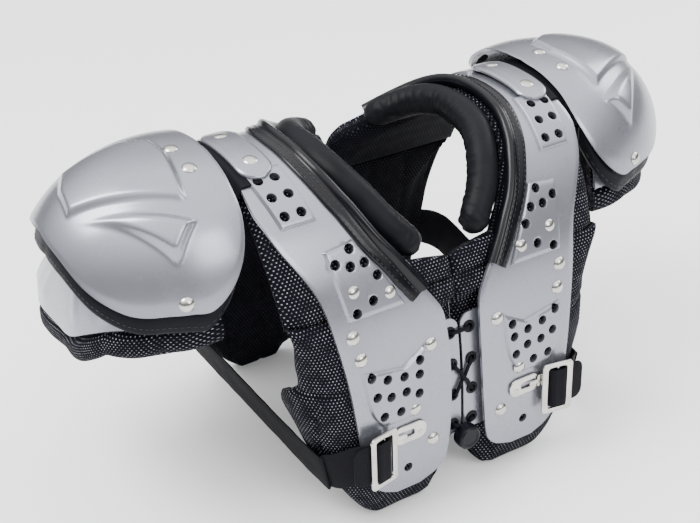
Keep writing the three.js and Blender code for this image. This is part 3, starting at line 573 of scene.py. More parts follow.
def shiny_nylon():
    f = Finish("shiny_nylon", Specular_IOR_Level=0.10)
    u, v = f.laid()
    weave = ((u * (2 * math.pi / 0.0009)).wave() * (v * (2 * math.pi / 0.0009)).wave()) * 0.5 + 0.5
    cloud = f.ramp(f.noise(30, 4), 0.3, 0.7)
    f.feed("Base Color", f.mix(cloud, (0.0035, 0.0035, 0.005), (0.0065, 0.0065, 0.009)))
    f.feed("Roughness", 0.40 + 0.14 * cloud)
    f.bump(weave * 0.25 + f.noise(160, 4) * 0.75, 0.22, 0.0008)
    return f.material


def satin_nickel():
    f = Finish("satin_nickel", Metallic=1.0)
    cloud = f.noise(70, 4)
    f.feed("Base Color", f.mix(f.ramp(cloud, 0.3, 0.75), (0.46, 0.45, 0.42), (0.58, 0.57, 0.54)))
    f.feed("Roughness", 0.16 + 0.08 * f.ramp(f.noise(60, 3), 0.3, 0.75))
    return f.material


def braided_cord():
    f = Finish("braided_cord", Specular_IOR_Level=0.1)
    u, v = f.laid()
    twist = ((u * 6 + v / 0.004) * (2 * math.pi)).wave() * ((u * 6 - v / 0.004) * (2 * math.pi)).wave()
    weave = twist * 0.5 + 0.5
    f.feed("Base Color", f.mix(weave, (0.002, 0.002, 0.004), (0.010, 0.010, 0.014)))
    f.feed("Roughness", 0.6 + 0.2 * weave)
    f.bump(weave, 0.6, 0.0005)
    return f.material


SILVER = silver_plastic()
VINYL = plain_black("black_vinyl", (0.0025, 0.0025, 0.004), 0.15, 60, 0.02, Specular_IOR_Level=0.24)
FOAM = plain_black("black_foam", (0.003, 0.003, 0.005), 0.42, 500, 0.08, Specular_IOR_Level=0.09)
HARD_BLACK = plain_black("hard_black", (0.003, 0.003, 0.005), 0.32, 700, 0.05, Specular_IOR_Level=0.16)
MESH = dotted_mesh()
WEBBING = woven_band()
NYLON = shiny_nylon()
NICKEL = satin_nickel()
CORD = braided_cord()
THREAD = plain_black("dull_thread", (0.007, 0.007, 0.010), 0.55, 900, 0.3)


# Arch plates

def arch_plate():
    def along_at(v):
        s = 2 * v - 1
        return FRONT_EDGES[-1][0] * (1.4 * s - 0.4 * s ** 3)

    def face(lift, u, v):
        along = along_at(v)
        inner, outer = edges_at(along)
        return on_arch(inner + u * (outer - inner), along, lift)

    shell = wall(16, 150, partial(face, 0.0), partial(face, -PLATE))
    plate = finished(shell, "plate", SILVER, "silver_shell")
    cut_with(plate, drills(CHEST_HOLES, HOLE_DIAMETER))
    softened(plate, 0.7, 2, 50)
    return plate


def raised_panel(panel, front):
    rows = panel["rows"]
    start, end = rows[0][0], rows[-1][0]
    side = -1 if front else 1
    chamfer, rise, sunk, foot = 2.6, 3.0, 0.8, 1.6
    columns, lines = 26, 30

    def spaced(t, length):
        """Shares of a length with three close lines at each end, for the chamfer."""
        near = chamfer / length
        if t < 0.12:
            return t / 0.12 * near
        if t > 0.88:
            return 1 - (1 - t) / 0.12 * near
        return near + (t - 0.12) / 0.76 * (1 - 2 * near)

    def spot(u, v):
        v = spaced(v, end - start)
        dips = panel["dips"]
        share = 0.0
        for (a, da), (b, db) in zip(dips, dips[1:]):
            if a <= u <= b:
                share = da + (db - da) * (u - a) / (b - a)
        along = start + share + (end - start - share) * v
        inner, outer = read(rows, along, 1), read(rows, along, 2)
        w = spaced(u, outer - inner)
        return inner + w * (outer - inner), along, w * (outer - inner), (1 - w) * (outer - inner), v

    def top(u, v):
        x, along, left, right, w = spot(u, v)
        long = end - start
        near = min(left, right, w * long, (1 - w) * long)
        lift = -sunk + (rise + sunk) * clamp(near / chamfer)
        return on_arch(x, side * along, lift)

    def bottom(u, v):
        x, along, *_ = spot(u, v)
        return on_arch(x, side * along, -foot)

    return wall(columns, lines, top, bottom)


def plates_with_panels():
    plate = arch_plate()
    for panel in PANELS:
        for front in (True, False):
            slab = finished(raised_panel(panel, front), "panel", SILVER, "silver_shell")
            if front:
                cut_with(slab, drills(CHEST_HOLES, HOLE_DIAMETER))
            softened(slab, 0.6, 2, 28)
            join_into(plate, slab)
    return plate


def join_into(piece, other):
    bm = bmesh.new()
    bm.from_mesh(piece.data)
    bm.from_mesh(other.data)
    bm.to_mesh(piece.data)
    bm.free()
    bpy.data.objects.remove(other)


def mirrored_piece(piece, name, nodes):
    """A finished piece's mirror image."""
    bm = bmesh.new()
    bm.from_mesh(piece.data)
    copy = mirrored(bm)
    bm.free()
    mesh = bpy.data.meshes.new(name)
    copy.to_mesh(mesh)
    copy.free()
    for finish in piece.data.materials:
        mesh.materials.append(finish)
    other = new_object(name, mesh)
    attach(other, "root")
    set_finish(other, piece["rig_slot"])
    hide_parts(*nodes)


def on_both_sides(piece, name):
    """Names a finished piece after the node it replaces, and adds its mirror image."""
    piece.name = name + "_left_look"
    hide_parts(name + "_left")
    mirrored_piece(piece, name + "_right_look", [name + "_right"])


plate_left = plates_with_panels()
plate_left.name = "arch_plate_left"
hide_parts("arch_shell_left")
mirrored_piece(plate_left, "arch_plate_right", ["arch_shell_right"])


def plate_rivets():
    def row(side):
        rivets = []
        for x, along in CHEST_RIVETS:
            on_panel = 114 < along < 184 or along == 280
            at = on_arch(x, side * along, 1.4 if on_panel else 0.0)
            rivets.append(dome_rivet(at, arch_normal(side * along)))
        return rivets

    small = dome_rivet(on_arch(53.5, -304, 1.9), arch_normal(-304), 2.6, 1.2, 0.3)
    return joined(*row(-1), small, *row(1))


pair(plate_rivets(), "plate_rivets", NICKEL, "nickel", nodes=())


# Neck trim and roll

TRIM_LENGTH = NECK_BACK - 6 - NECK_FRONT
TRIM_SECTION = [  # distance into the plate, lift
    (-2.0, -2.6), (-2.9, -2.9), (-3.8, -2.2), (-3.9, 0.6), (-3.6, 2.6), (-2.6, 4.8), (-0.8, 6.4),
    (1.4, 6.9), (3.4, 6.2), (4.8, 4.4), (5.8, 3.2), (7.4, 2.9), (11, 3.1), (15, 2.9), (16.6, 2.3),
    (17.2, 1.4), (16.6, 0.7), (11, 0.6), (5, 0.6), (0.2, 0.5), (-1.5, 0.2), (-1.9, -1.4),
]


def neck_trim():
    def place(u, v):
        distance, lift = around(TRIM_SECTION, u)
        return beside_neck(NECK_FRONT + TRIM_LENGTH * v, distance, lift)

    return loft(len(TRIM_SECTION), 110, place, lambda u, v: (u * 0.05, v * 0.29))


def stitch_row(place, length, pitch=4.3, thick=0.45):
    """Short raised stitches along a line: place gives a point for a distance."""
    bm = bmesh.new()
    count = int(length / pitch)
    for k in range(count):
        a, b = place((k + 0.16) * pitch), place((k + 0.80) * pitch)
        if (b - a).length < 0.5:
            continue
        matrix = facing((a + b) / 2, b - a)
        bmesh.ops.create_uvsphere(bm, u_segments=6, v_segments=4, radius=1.0,
                                  matrix=matrix @ Matrix.Diagonal((thick, thick, (b - a).length / 2, 1)))
    return bm


def trim_stitches():
    rows = [
        stitch_row(lambda s: beside_neck(NECK_FRONT + 2 + s, distance, lift), TRIM_LENGTH - 6)
        for distance, lift in ((8.6, 3.15), (14.6, 3.05))
    ]
    return joined(*rows)


pair(neck_trim(), "neck_trim", VINYL, "black_vinyl", smooth=60)
pair(trim_stitches(), "neck_trim_stitches", THREAD, "black_vinyl", nodes=())


def neck_roll():
    radius, front, back = 14.2, -155.0, 104.0
    beside_plate, below_plate = 20.6, 12.2
    rounded_end, gathered_end = 13, 40

    def place(u, v):
        angle = 2 * math.pi * u
        along = front + (back - front) * v
        from_end = min(v, 1 - v) * (back - front)
        size = radius * math.sqrt(clamp(1 - (1 - clamp(from_end / rounded_end)) ** 2, 0.03))
        inward = clamp(-math.cos(angle)) * 0.8 + clamp(-math.sin(angle)) * 0.5
        near_end = 1 - clamp(from_end / gathered_end)
        s = v * (back - front)
        across, upward = 14 * math.cos(angle), 14 * math.sin(angle)
        gather = abs(rough((s, across * 0.4, upward * 0.4), 5.5, 3.1)) * (1.5 * inward + 2.4 * near_end)
        soft = 0.6 * rough((s, across, upward), 26, 9.0)
        size = size - gather + soft
        distance = size * math.cos(angle) - beside_plate
        lift = size * math.sin(angle) - below_plate
        return beside_neck(along, distance, lift)

    return loft(40, 190, place, lambda u, v: (u * 0.088, v * 0.26))


roll = pair(neck_roll(), "neck_roll", NYLON, "grey_nylon", smooth=80)


# Pads inside the plates

def over_cloth(spot):
    """Pattern coordinates in metres from a place on a pad."""
    return lambda u, v: tuple(value * MM for value in spot(u, v)[:2])


def shoulder_pad():
    start, end, length = -174.6, 174.6, 349
    gap = 3.5

    def spot(u, v):
        along = start + (end - start) * v
        neck = beside_neck(clamp(along, NECK_FRONT, NECK_BACK), -4.5, 0).x
        inner = min(neck, edges_at(along)[0], read(COLLAR, along))
        if along < -140:
            inner = min(inner, 0.6 + 98 * ease(along, -156, -140))
        outer = read(SHOULDER_PAD, along)
        return inner + u * (outer - inner), along, outer - inner

    def from_edge(u, v, width):
        return min(u * width, (1 - u) * width, v * length, (1 - v) * length)

    def top(u, v):
        x, along, width = spot(u, v)
        edge = from_edge(u, v, width)
        sink = 4.5 * (1 - clamp(edge / 9)) ** 2 + 7.0 * (1 - clamp((1 - u) * width / 26)) ** 2.2
        return on_arch(x, along, -gap - sink + 0.25 * rough((x, along, 0), 18))

    def bottom(u, v):
        x, along, width = spot(u, v)
        edge = from_edge(u, v, width)
        depth = 10.5 + 11.5 * clamp(edge / 40) ** 0.5 * (1 - 0.12 * abs(math.sin(along / 18)))
        return on_arch(x, along, -gap - depth)

    return wall(30, 90, top, bottom, over_cloth(spot))


def round_side(x, along, lift, curl):
    """A point over the arch, or past x = curl on the pad's way back round the wearer's side."""
    if x <= curl:
        return on_arch(x, along, lift)
    turn = min((x - curl) / CURL_RADIUS, 1.75)
    rest = x - curl - turn * CURL_RADIUS
    outward = CURL_RADIUS + lift
    side = -1 if along < 0 else 1
    sideways = outward * math.sin(turn) + rest * math.cos(turn)
    inward = CURL_RADIUS - outward * math.cos(turn) + rest * math.sin(turn)
    return on_arch(curl, along, 0) + Vector((sideways, -side * inward, 0))


def body_pad(side):
    start, end = 175.6, BODY_PAD[-1][0]
    column = 2 if side < 0 else 3
    gap = 3.6
    seam_along, seam_x, seam_depth = 243, 152, 3.4
    channel_pitch, channel_depth = 42, 1.6

    def spot(u, v):
        along = start + (end - start) * (1 - (1 - v) ** 1.25)
        inner = 0.3 + read(BODY_PAD, along, 1) * ease(along, 325, 350)
        outer = read(BODY_PAD, along, column)
        return inner + u * (outer - inner), along, outer - inner

    def shape(bottom, u, v):
        x, along, width = spot(u, v)
        edge = min(u * width, (1 - u) * width, (along - start) + 1, (end - along) + 3)
        near = 1 - clamp(edge / 11)
        by_lacing = 13.2 * ease(along, 190, 204) * (1 - clamp((x - 21) / 28))
        sink = max(by_lacing, read(BODY_PAD, along, 5))
        crease = seam_depth * math.exp(-((along - seam_along) / 3.0) ** 2) * ease(x, 116, 140)
        upright = seam_depth * math.exp(-((x - seam_x) / 2.8) ** 2)
        crease += upright * ease(along, seam_along, 256) * ease(-along, -372, -350)
        puff = 0.5 * rough((x, along, side * 9), 20)
        if not bottom:
            lift = -gap - sink - 4.0 * near ** 2 - crease + (puff if x > 126 or along > 366 else 0)
        else:
            depth = 8.5 + 13.0 * clamp(edge / 46) ** 0.55 - 0.4 * by_lacing - 0.3 * read(BODY_PAD, along, 5)
            channel = channel_depth * math.exp(-(((x % channel_pitch) - channel_pitch / 2) / 2.6) ** 2)
            lift = -gap - sink - depth + channel + puff * 0.6
        p = round_side(x, side * along, lift, read(BODY_PAD, along, 4))
        p.z = max(p.z, 0.3)
        return p

    return wall(46, 70, partial(shape, False), partial(shape, True), over_cloth(spot))


for bm, label in ((shoulder_pad(), "shoulder_pad"), (body_pad(-1), "chest_pad"), (body_pad(1), "back_pad")):
    for half in pair(bm, label, MESH, "black_mesh", smooth=75):
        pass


# Shoulder cap

def dome_height(x, y, offset=0.0):
    """The dome's height over a plan point. It narrows a little towards the point of the shoulder."""
    narrow = 1 - 0.054 / 130 * (x - 170)
    flat_x = abs(x - DOME_X) / (DOME_HALF_X - offset)
    flat_y = abs(y - DOME_Y) / (DOME_HALF_Y * narrow - offset)
    flat = (flat_x ** DOME_PLAN_POWER + flat_y ** DOME_PLAN_POWER) ** (DOME_RISE_POWER / DOME_PLAN_POWER)
    return DOME_BASE + (DOME_RISE - offset) * max(1 - flat, 0.0) ** (1 / DOME_RISE_POWER)


def cap_edge(angle, offset=0.0):
    degrees = math.degrees(abs(math.atan2(math.sin(angle), math.cos(angle))))
    return read(CAP_PLAN, degrees) - offset


def cap_point(angle, share, offset=0.0):
    radius = cap_edge(angle, offset) * share
    x, y = CAP_X + radius * math.cos(angle), CAP_Y + radius * math.sin(angle)
    return Vector((x, y, dome_height(x, y, offset)))


def dome_normal(x, y):
    step = 1.5
    slope_x = (dome_height(x + step, y) - dome_height(x - step, y)) / (2 * step)
    slope_y = (dome_height(x, y + step) - dome_height(x, y - step)) / (2 * step)
    return Vector((-slope_x, -slope_y, 1)).normalized()


BADGE = [(288, 25), (292, -2), (212, -45), (202, 10), (203, 37), (224, 51), (277, 50)]
WEDGE_TIP, WEDGE_TOP, WEDGE_BOTTOM = Vector((291, -13)), Vector((211, -60)), Vector((234, -73))


def depth_inside(p, corners):
    """How far a plan point lies inside a polygon; negative outside."""
    inside, near = False, 1e9
    for a, b in zip(corners, corners[1:] + corners[:1]):
        a, b = Vector(a), Vector(b)
        if (a.y > p.y) != (b.y > p.y) and p.x < (b.x - a.x) * (p.y - a.y) / (b.y - a.y) + a.x:
            inside = not inside
        t = clamp((p - a).dot(b - a) / (b - a).length_squared)
        near = min(near, (p - a - (b - a) * t).length)
    return near if inside else -near


def cap_relief(x, y):
    """Height of the cap's pressed forms: a raised field on top and a wedge in front of it."""
    p = Vector((x, y))
    field = 4.2 * ease(depth_inside(p, BADGE), -3.0, 4.0)
    wedge = depth_inside(p, [tuple(WEDGE_TIP), tuple(WEDGE_TOP), tuple(WEDGE_BOTTOM)])
    grow = clamp((WEDGE_TIP - p).dot((WEDGE_TIP - WEDGE_TOP).normalized()) / 92)
    return field + 9.0 * grow * ease(wedge, -1.5, 5.0)


def epaulet():
    count, rings = 192, 80
    shares = [math.sin(i / rings * math.pi / 2) ** 0.85 for i in range(rings + 1)]
    shares[0] = 0.004

    def place(u, v):
        i = round(v * (2 * rings + 1))
        angle = 2 * math.pi * u
        if i <= rings:
            p = cap_point(angle, shares[i])
            rim = 1.2 * ease(shares[i], 0.965, 1.0)
            return p + dome_normal(p.x, p.y) * (cap_relief(p.x, p.y) - rim * 0.3)
        return cap_point(angle, shares[2 * rings + 1 - i], PLATE)

    return loft(count, 2 * rings + 1, place, lambda u, v: (u * 0.6, v * 0.2))


pair(epaulet(), "epaulet", SILVER, "silver_shell", smooth=50)


def cap_rivet(x, y, height=2.4):
    normal = dome_normal(x, y)
    return dome_rivet(Vector((x, y, dome_height(x, y))), normal, 6.2, height, 0.6)


def shoulder_rivets():
    strap = [dome_rivet(on_arch(144, s * 25, 6.4), arch_normal(s * 25), 6.2, 1.8, 0.5) for s in (-1, 1)]
    return joined(*strap, cap_rivet(194, -17), cap_rivet(194, 17), cap_rivet(235, -85, 3.2))


pair(shoulder_rivets(), "shoulder_rivets", NICKEL, "nickel",
     nodes=["strap_rivet_front", "strap_rivet_back", "cap_rivet_front", "cap_rivet_back", "cap_rivet_low"])


BINDING_SECTION = [  # distance inward from the cap's edge, height
    (4.0, -20.0), (1.2, -19.0), (0.0, -16.5), (0.0, -9), (0.4, -3), (3.4, 2.4), (7.6, 7.0), (9.8, 8.4),
    (12.4, 7.6), (13.2, 5.4), (10.0, 0.8), (7.0, -4), (6.4, -10), (6.6, -17), (5.8, -19.4),
]


def under_cap_edge(angle):
    """A point under the cap's edge, the way inward, and how far the binding's foot leans that way."""
    edge = cap_point(angle, 1.0, PLATE + 2.4)
    inward = Vector((-math.cos(angle), -math.sin(angle), 0))
    return edge, inward, 2 - 7 * max(math.cos(angle), 0.0)


def binding():
    turn = math.radians(128)

    def place(u, v):
        inner, height = around(BINDING_SECTION, u)
        edge, inward, lean = under_cap_edge(-turn + 2 * turn * v)
        return edge + inward * (inner + lean * clamp(-height / 20)) + Vector((0, 0, height))

    return loft(len(BINDING_SECTION), 120, place, lambda u, v: (u * 0.06, v * 0.5))


def binding_stitches():
    turn, radius, below = math.radians(124), 92, 13.0

    def place(s):
        edge, inward, lean = under_cap_edge(-turn + s / radius)
        return edge + inward * (lean * 0.65 - 0.1) + Vector((0, 0, -below))

    return stitch_row(place, 2 * turn * radius, 4.6, 0.4)


pair(binding(), "epaulet_binding", FOAM, "black_foam", smooth=60)
pair(binding_stitches(), "binding_stitches", THREAD, "black_foam", nodes=())


# Cup under the cap

def squarish(value, power):
    """A cosine or sine bent from a circle's to that of a fuller oval."""
    return math.copysign(abs(value) ** (2 / power), value)


def cup_point(degrees, height, offset=0.0):
    tilt = math.asin(clamp((height - DOME_BASE) / (CUP_RISE - offset)) ** (CUP_POWER / 2))
    angle = math.radians(degrees)
    flat = squarish(math.cos(tilt), CUP_POWER)
    squarer = clamp((CUP_TOP_HEIGHT - height) / (CUP_TOP_HEIGHT - CUP_HEM_HEIGHT))
    squarer *= ease(degrees, -25, 25) * 0.8 + 0.2
    plan = 2.15 + 1.9 * squarer
    length = CUP_FRONT if angle < 0 else CUP_BACK + 10.0 * squarer
    return Vector((
        CUP_X + (CUP_OUT - offset) * flat * squarish(math.cos(angle), plan),
        CUP_Y + (length - offset) * flat * squarish(math.sin(angle), plan),
        height,
    ))


def round_the_shoulder(u):
    """Degrees round the cup, in steps that come out even on its flat side."""
    s = 2 * u - 1
    return math.copysign(90 * abs(s) ** 1.7, s)


def cup():
    top, rib_height, rib_pitch = 300, 1.3, 22.5

    def face(offset, u, v):
        degrees = round_the_shoulder(u)
        hem = read(HEM, degrees)
        height = hem + (top - hem) * v
        from_rib = (degrees + 90) % rib_pitch - rib_pitch / 2
        rib = rib_height * math.exp(-(from_rib / 3.0) ** 2) * ease(v, 0.04, 0.2) * (1 - v)
        return cup_point(degrees, height, offset - (rib if offset == 0 else 0))

    return wall(120, 34, partial(face, 0.0), partial(face, PLATE))


def cup_pad():
    top, below_hem, quilt_depth, bulge_depth = 272, 27, 1.6, 6.5

    def face(offset, outer, u, v):
        degrees = round_the_shoulder(u)
        hem = read(HEM, degrees)
        scallop = abs(math.sin(math.radians(degrees) * 5.5))
        low = hem - below_hem + 3.2 * (1 - scallop)
        height = low + (top - low) * v
        quilt = quilt_depth * (1 - scallop) ** 3
        near = 4.5 * (1 - clamp(v * (top - low) / 9)) ** 2
        bulge = bulge_depth * ease(hem - height, 1.0, 9.0)
        inset = offset + quilt + near - bulge if outer else offset - quilt - near
        return cup_point(degrees, height, inset)

    return wall(110, 34, partial(face, 6.4, True), partial(face, 18.0, False),
                lambda u, v: (u * 0.34, v * 0.11))


pair(cup(), "cup", SILVER, "silver_shell", smooth=45)
for half in pair(cup_pad(), "cup_pad", MESH, "black_mesh", smooth=75):
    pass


# Strap plate and hinge webbing

def strap_plate():
    length, width, middle = 90.0, 31.0, 144

    def face(lift, rounded, u, v):
        s = 2 * v - 1
        along = length / 2 * (1.5 * s - 0.5 * s ** 3)
        from_end = length / 2 - abs(along)
        end = width / 2
        half = math.sqrt(max(end * end - max(end - from_end, 0) ** 2, 0.01))
        across = 2 * u - 1
        across = 1.5 * across - 0.5 * across ** 3
        near = min(half * (1 - abs(across)), from_end)
        drop = 1.4 * (1 - clamp(near / 2.6)) ** 2 if rounded else 0
        swell = 0.7 * clamp(near / 12) if rounded else 0
        return on_arch(middle + across * half, along, lift - drop + swell)

    return wall(24, 60, partial(face, 6.2, True), partial(face, 3.1, False))


def hinge_strap():
    columns = [132.5, 146, 158, 163.5, 167, 172, 183, 198]
    width, thickness, below_cap = 96, 1.7, 2.4

    def face(height, u, v):
        along = (v - 0.5) * width
        t = u * (len(columns) - 1)
        i = min(int(t), len(columns) - 2)
        x = columns[i] + (t - i) * (columns[i + 1] - columns[i])
        p = on_arch(x, along, 0.8)
        under = dome_height(max(x, 169.5), along, PLATE) - 1.8 - below_cap
        drop = ease(x, 163, 168)
        p.z = height + p.z + (min(p.z, under) - p.z) * drop
        return p

    return wall(28, 44, partial(face, thickness), partial(face, 0.0),
                lambda u, v: (u * 0.066, v * 0.096))


pair(strap_plate(), "strap_plate", SILVER, "silver_shell", smooth=40)
pair(hinge_strap(), "hinge_strap", WEBBING, "black_webbing", smooth=50)


# Lacing

def flange(side):
    top, bottom, corner = EYELETS[0] - 14, EYELETS[3] + 11, 10.0
    inner_x, outer_x, thickness = 1.5, 39.5, 2.0

    def face(lift, u, v):
        s = 2 * v - 1
        along = (top + bottom) / 2 + (bottom - top) / 2 * (1.35 * s - 0.35 * s ** 3)
        from_end = max(min(along - top, bottom - along), 0.0)
        near = corner - min(from_end, corner)
        inner = inner_x + corner - math.sqrt(max(corner ** 2 - near ** 2, 0.0))
        x = inner + u * (outer_x - inner)
        slope = 4 * ease(x, 19, 40)
        return on_arch(x, side * along, lift + slope)

    strip = wall(20, 60, partial(face, FLANGE_LIFT), partial(face, FLANGE_LIFT - thickness))
    piece = finished(strip, "flange", SILVER, "silver_shell")
    cut_with(piece, drills([(EYELET_X, a) for a in EYELETS], 7.4, side, 40))
    return softened(piece, 0.4, 2, 50)


def eyelet(along, side):
    """A black ring pressed into the flange."""
    at = on_arch(EYELET_X, side * along, FLANGE_LIFT)
    profile = [
        (3.1, -2.2), (3.0, 0.4), (3.5, 1.2), (4.6, 1.5), (5.6, 1.1), (6.0, 0.3), (5.9, -0.2),
        (3.9, -0.3), (3.8, -2.2), (3.1, -2.2),
    ]
    return turned(profile, 28, facing(at, arch_normal(side * along)))


for side, label in ((-1, "front"), (1, "back")):
    on_both_sides(flange(side), label + "_flange")
    rings = joined(*[eyelet(a, side) for a in EYELETS])
    pair(rings, label + "_eyelets", HARD_BLACK, "black_plastic", nodes=())


def smooth_path(points, count):
    """Even steps along a smooth line through points."""
    line = []
    for i in range(len(points) - 1):
        p0, p1 = points[max(i - 1, 0)], points[i]
        p2, p3 = points[i + 1], points[min(i + 2, len(points) - 1)]
        for k in range(8):
            t = k / 8
            line.append(0.5 * ((2 * p1) + (p2 - p0) * t + (2 * p0 - 5 * p1 + 4 * p2 - p3) * t * t
                               + (3 * p1 - p0 - 3 * p2 + p3) * t ** 3))
    line.append(points[-1].copy())
    reach = [0.0]
    for a, b in zip(line, line[1:]):
        reach.append(reach[-1] + (b - a).length)
    even, j = [], 0
    for k in range(count + 1):
        want = reach[-1] * k / count
        while j < len(reach) - 2 and reach[j + 1] < want:
            j += 1
        share = (want - reach[j]) / max(reach[j + 1] - reach[j], 1e-9)
        even.append(line[j].lerp(line[j + 1], clamp(share)))
    return even, reach[-1]


def tube(points, radius, sides, rows):
    """A round cord along a smooth line through points."""
    path, length = smooth_path(points, rows)
    sides_at, side = [], Vector((0, 0, 1))
    for i in range(rows + 1):
        tangent = (path[min(i + 1, rows)] - path[max(i - 1, 0)]).normalized()
        side = (side - tangent * side.dot(tangent)).normalized()
        sides_at.append((side.copy(), tangent.cross(side)))

    def place(u, v):
        i = round(v * rows)
        a, b = sides_at[i]
        angle = 2 * math.pi * u
        return path[i] + a * (radius * math.cos(angle)) + b * (radius * math.sin(angle))

    return loft(sides, rows, place, lambda u, v: (u, v * length * MM))


def lace_points(side):
    """A bar over the first eyelets, down behind, a cross to the third ones, and the ends at the last."""
    out, face = EYELET_X, FLANGE_LIFT
    over, inside, under = face + 2.5, face - 1.2, face - 4.6
    a, b, c, d = EYELETS

    def half(s, high):
        return [
            (s * (out - 5), a, over), (s * (out - 2.4), a, over), (s * out, a + 0.2, inside),
            (s * out, a + 2.8, under), (s * out, b - 2.8, under), (s * out, b - 0.2, inside),
            (s * (out - 1.8), b + 2.4, over), (s * (out - 4.5), b + 6, over), (s * 2, b + 13.2, over + high),
            (-s * 2, b + 18.2, over + high), (-s * (out - 4.5), c - 6, over),
            (-s * (out - 1.8), c - 2.4, over), (-s * out, c + 0.2, inside), (-s * out, c + 2.8, under),
            (-s * out, d - 2.8, under), (-s * out, d - 0.2, inside), (-s * (out - 1.8), d + 1.2, over),
            (-s * (out - 4), d + 2.4, over),
        ]

    route = list(reversed(half(1, 0))) + half(-1, 3.4)
    return [on_arch(x, side * along, lift) for x, along, lift in route]


for side, label in ((-1, "front"), (1, "back")):
    finished(tube(lace_points(side), 1.75, 12, 520), label + "_lace_look", CORD, "black_lace",
             [label + "_lace"], 80)


def lace_lock():
    along = EYELETS[3] + 13
    profile = [
        (0, 0), (8.6, 0), (11.2, 1.6), (11.9, 4.2), (11.9, 9.6), (11.3, 11.6), (9.6, 12.9),
        (7.6, 12.9), (7.2, 12.4), (0, 12.4),
    ]
    matrix = facing(on_arch(0, -along, FLANGE_LIFT + 0.8), arch_normal(-along))
    body = turned(profile, 56, matrix)
    spring = bmesh.new()
    bmesh.ops.create_cube(spring, size=1.0, matrix=matrix @ Matrix.Translation((0, -12.4, 5.5))
                          @ Matrix.Diagonal((8.0, 3.2, 5.6, 1)))
    bmesh.ops.bevel(spring, geom=spring.edges[:], offset=1.1, segments=3, affect="EDGES", profile=0.5,
                    material=-1)
    return joined(body, spring)


finished(lace_lock(), "lace_lock_look", HARD_BLACK, "black_plastic", ["lace_lock"], 35)


# Buckles and belts

def chest_frame(x, along, lift, tilt=0.0):
    """A frame on the chest plate: X to the wearer's left, Y up along the plate, Z outward."""
    up = (on_arch(0, -(along - 1)) - on_arch(0, -(along + 1))).normalized()
    out = arch_normal(-along)
    basis = Matrix((Vector((1, 0, 0)), up, out)).transposed().to_4x4()
    return Matrix.Translation(on_arch(x, -along, lift)) @ basis @ Matrix.Rotation(-tilt, 4, "Y")


def rounded_slab(left, low, width, height, corner, thickness, matrix, base=0.0):
    """A flat plate with round corners."""
    bm = bmesh.new()
    bmesh.ops.create_grid(bm, x_segments=1, y_segments=1, size=0.5)
    bm.transform(Matrix.Translation((left + width / 2, low + height / 2, base))
                 @ Matrix.Diagonal((width, height, 1, 1)))
    bmesh.ops.bevel(bm, geom=bm.verts[:], offset=corner, segments=7, affect="VERTICES", profile=0.5,
                    material=-1)
    grown = bmesh.ops.extrude_face_region(bm, geom=bm.faces[:])
    raised = [v for v in grown["geom"] if isinstance(v, bmesh.types.BMVert)]
    bmesh.ops.translate(bm, verts=raised, vec=(0, 0, thickness))
    bmesh.ops.recalc_face_normals(bm, faces=bm.faces)
    bm.transform(matrix)
    return bm


def hook_plate():
    matrix = chest_frame(46.5, METAL_ALONG - 10, 0.6)
    piece = finished(rounded_slab(0, -9, 34, 18, 8.0, 1.8, matrix), "hook", NICKEL, "nickel")
    cut_with(piece, rounded_slab(12.5, -3.2, 17.5, 6.4, 2.8, 8, matrix, -3))
    return softened(piece, 0.5, 3, 50)


def buckle():
    """A frame with a bar across its window, and an arm that hooks into the hook plate."""
    width, height, side, rail = 31.0, 54.0, 6.0, 5.0
    low = -height / 2
    matrix = chest_frame(BUCKLE_X, METAL_ALONG, BUCKLE_LIFT, BUCKLE_TILT)
    outer = rounded_slab(0, low, width, height, 4.2, BUCKLE_THICK, matrix)
    window = rounded_slab(side, rail + low, width - 2 * side, height - 2 * rail, 2.6, 12, matrix, -5)
    piece = finished(outer, "buckle", NICKEL, "nickel")
    cut_with(piece, window)
    softened(piece, 0.8, 3, 50)
    bar = finished(rounded_slab(14.5, -24, 2.2, 48, 0.6, 2.0, matrix, 0.2), "bar", NICKEL, "nickel")
    softened(bar, 0.4, 2, 50)
    join_into(piece, bar)
    on_hook = chest_frame(BUCKLE_X, METAL_ALONG - 10, 2.8)
    for slab in (rounded_slab(-13, -2.2, 17, 4.4, 1.6, 1.5, on_hook),
                 rounded_slab(-4.0, -6.0, 6.5, 12, 2.4, 1.5, on_hook),
                 rounded_slab(0.8, -6.0, 3.0, 12, 1.2, 4.6, on_hook)):
        arm = finished(slab, "arm", NICKEL, "nickel")
        softened(arm, 0.7, 3, 50)
        join_into(piece, arm)
    return piece


on_both_sides(hook_plate(), "hook_plate")
on_both_sides(buckle(), "buckle")

BELT_SECTION = [  # height along the band, distance through it
    (20, 0.45), (20, -0.45), (19.4, -0.8), (7, -0.8), (-7, -0.8), (-19.4, -0.8),
    (-20, -0.45), (-20, 0.45), (-19.4, 0.8), (-7, 0.8), (7, 0.8), (19.4, 0.8),
]


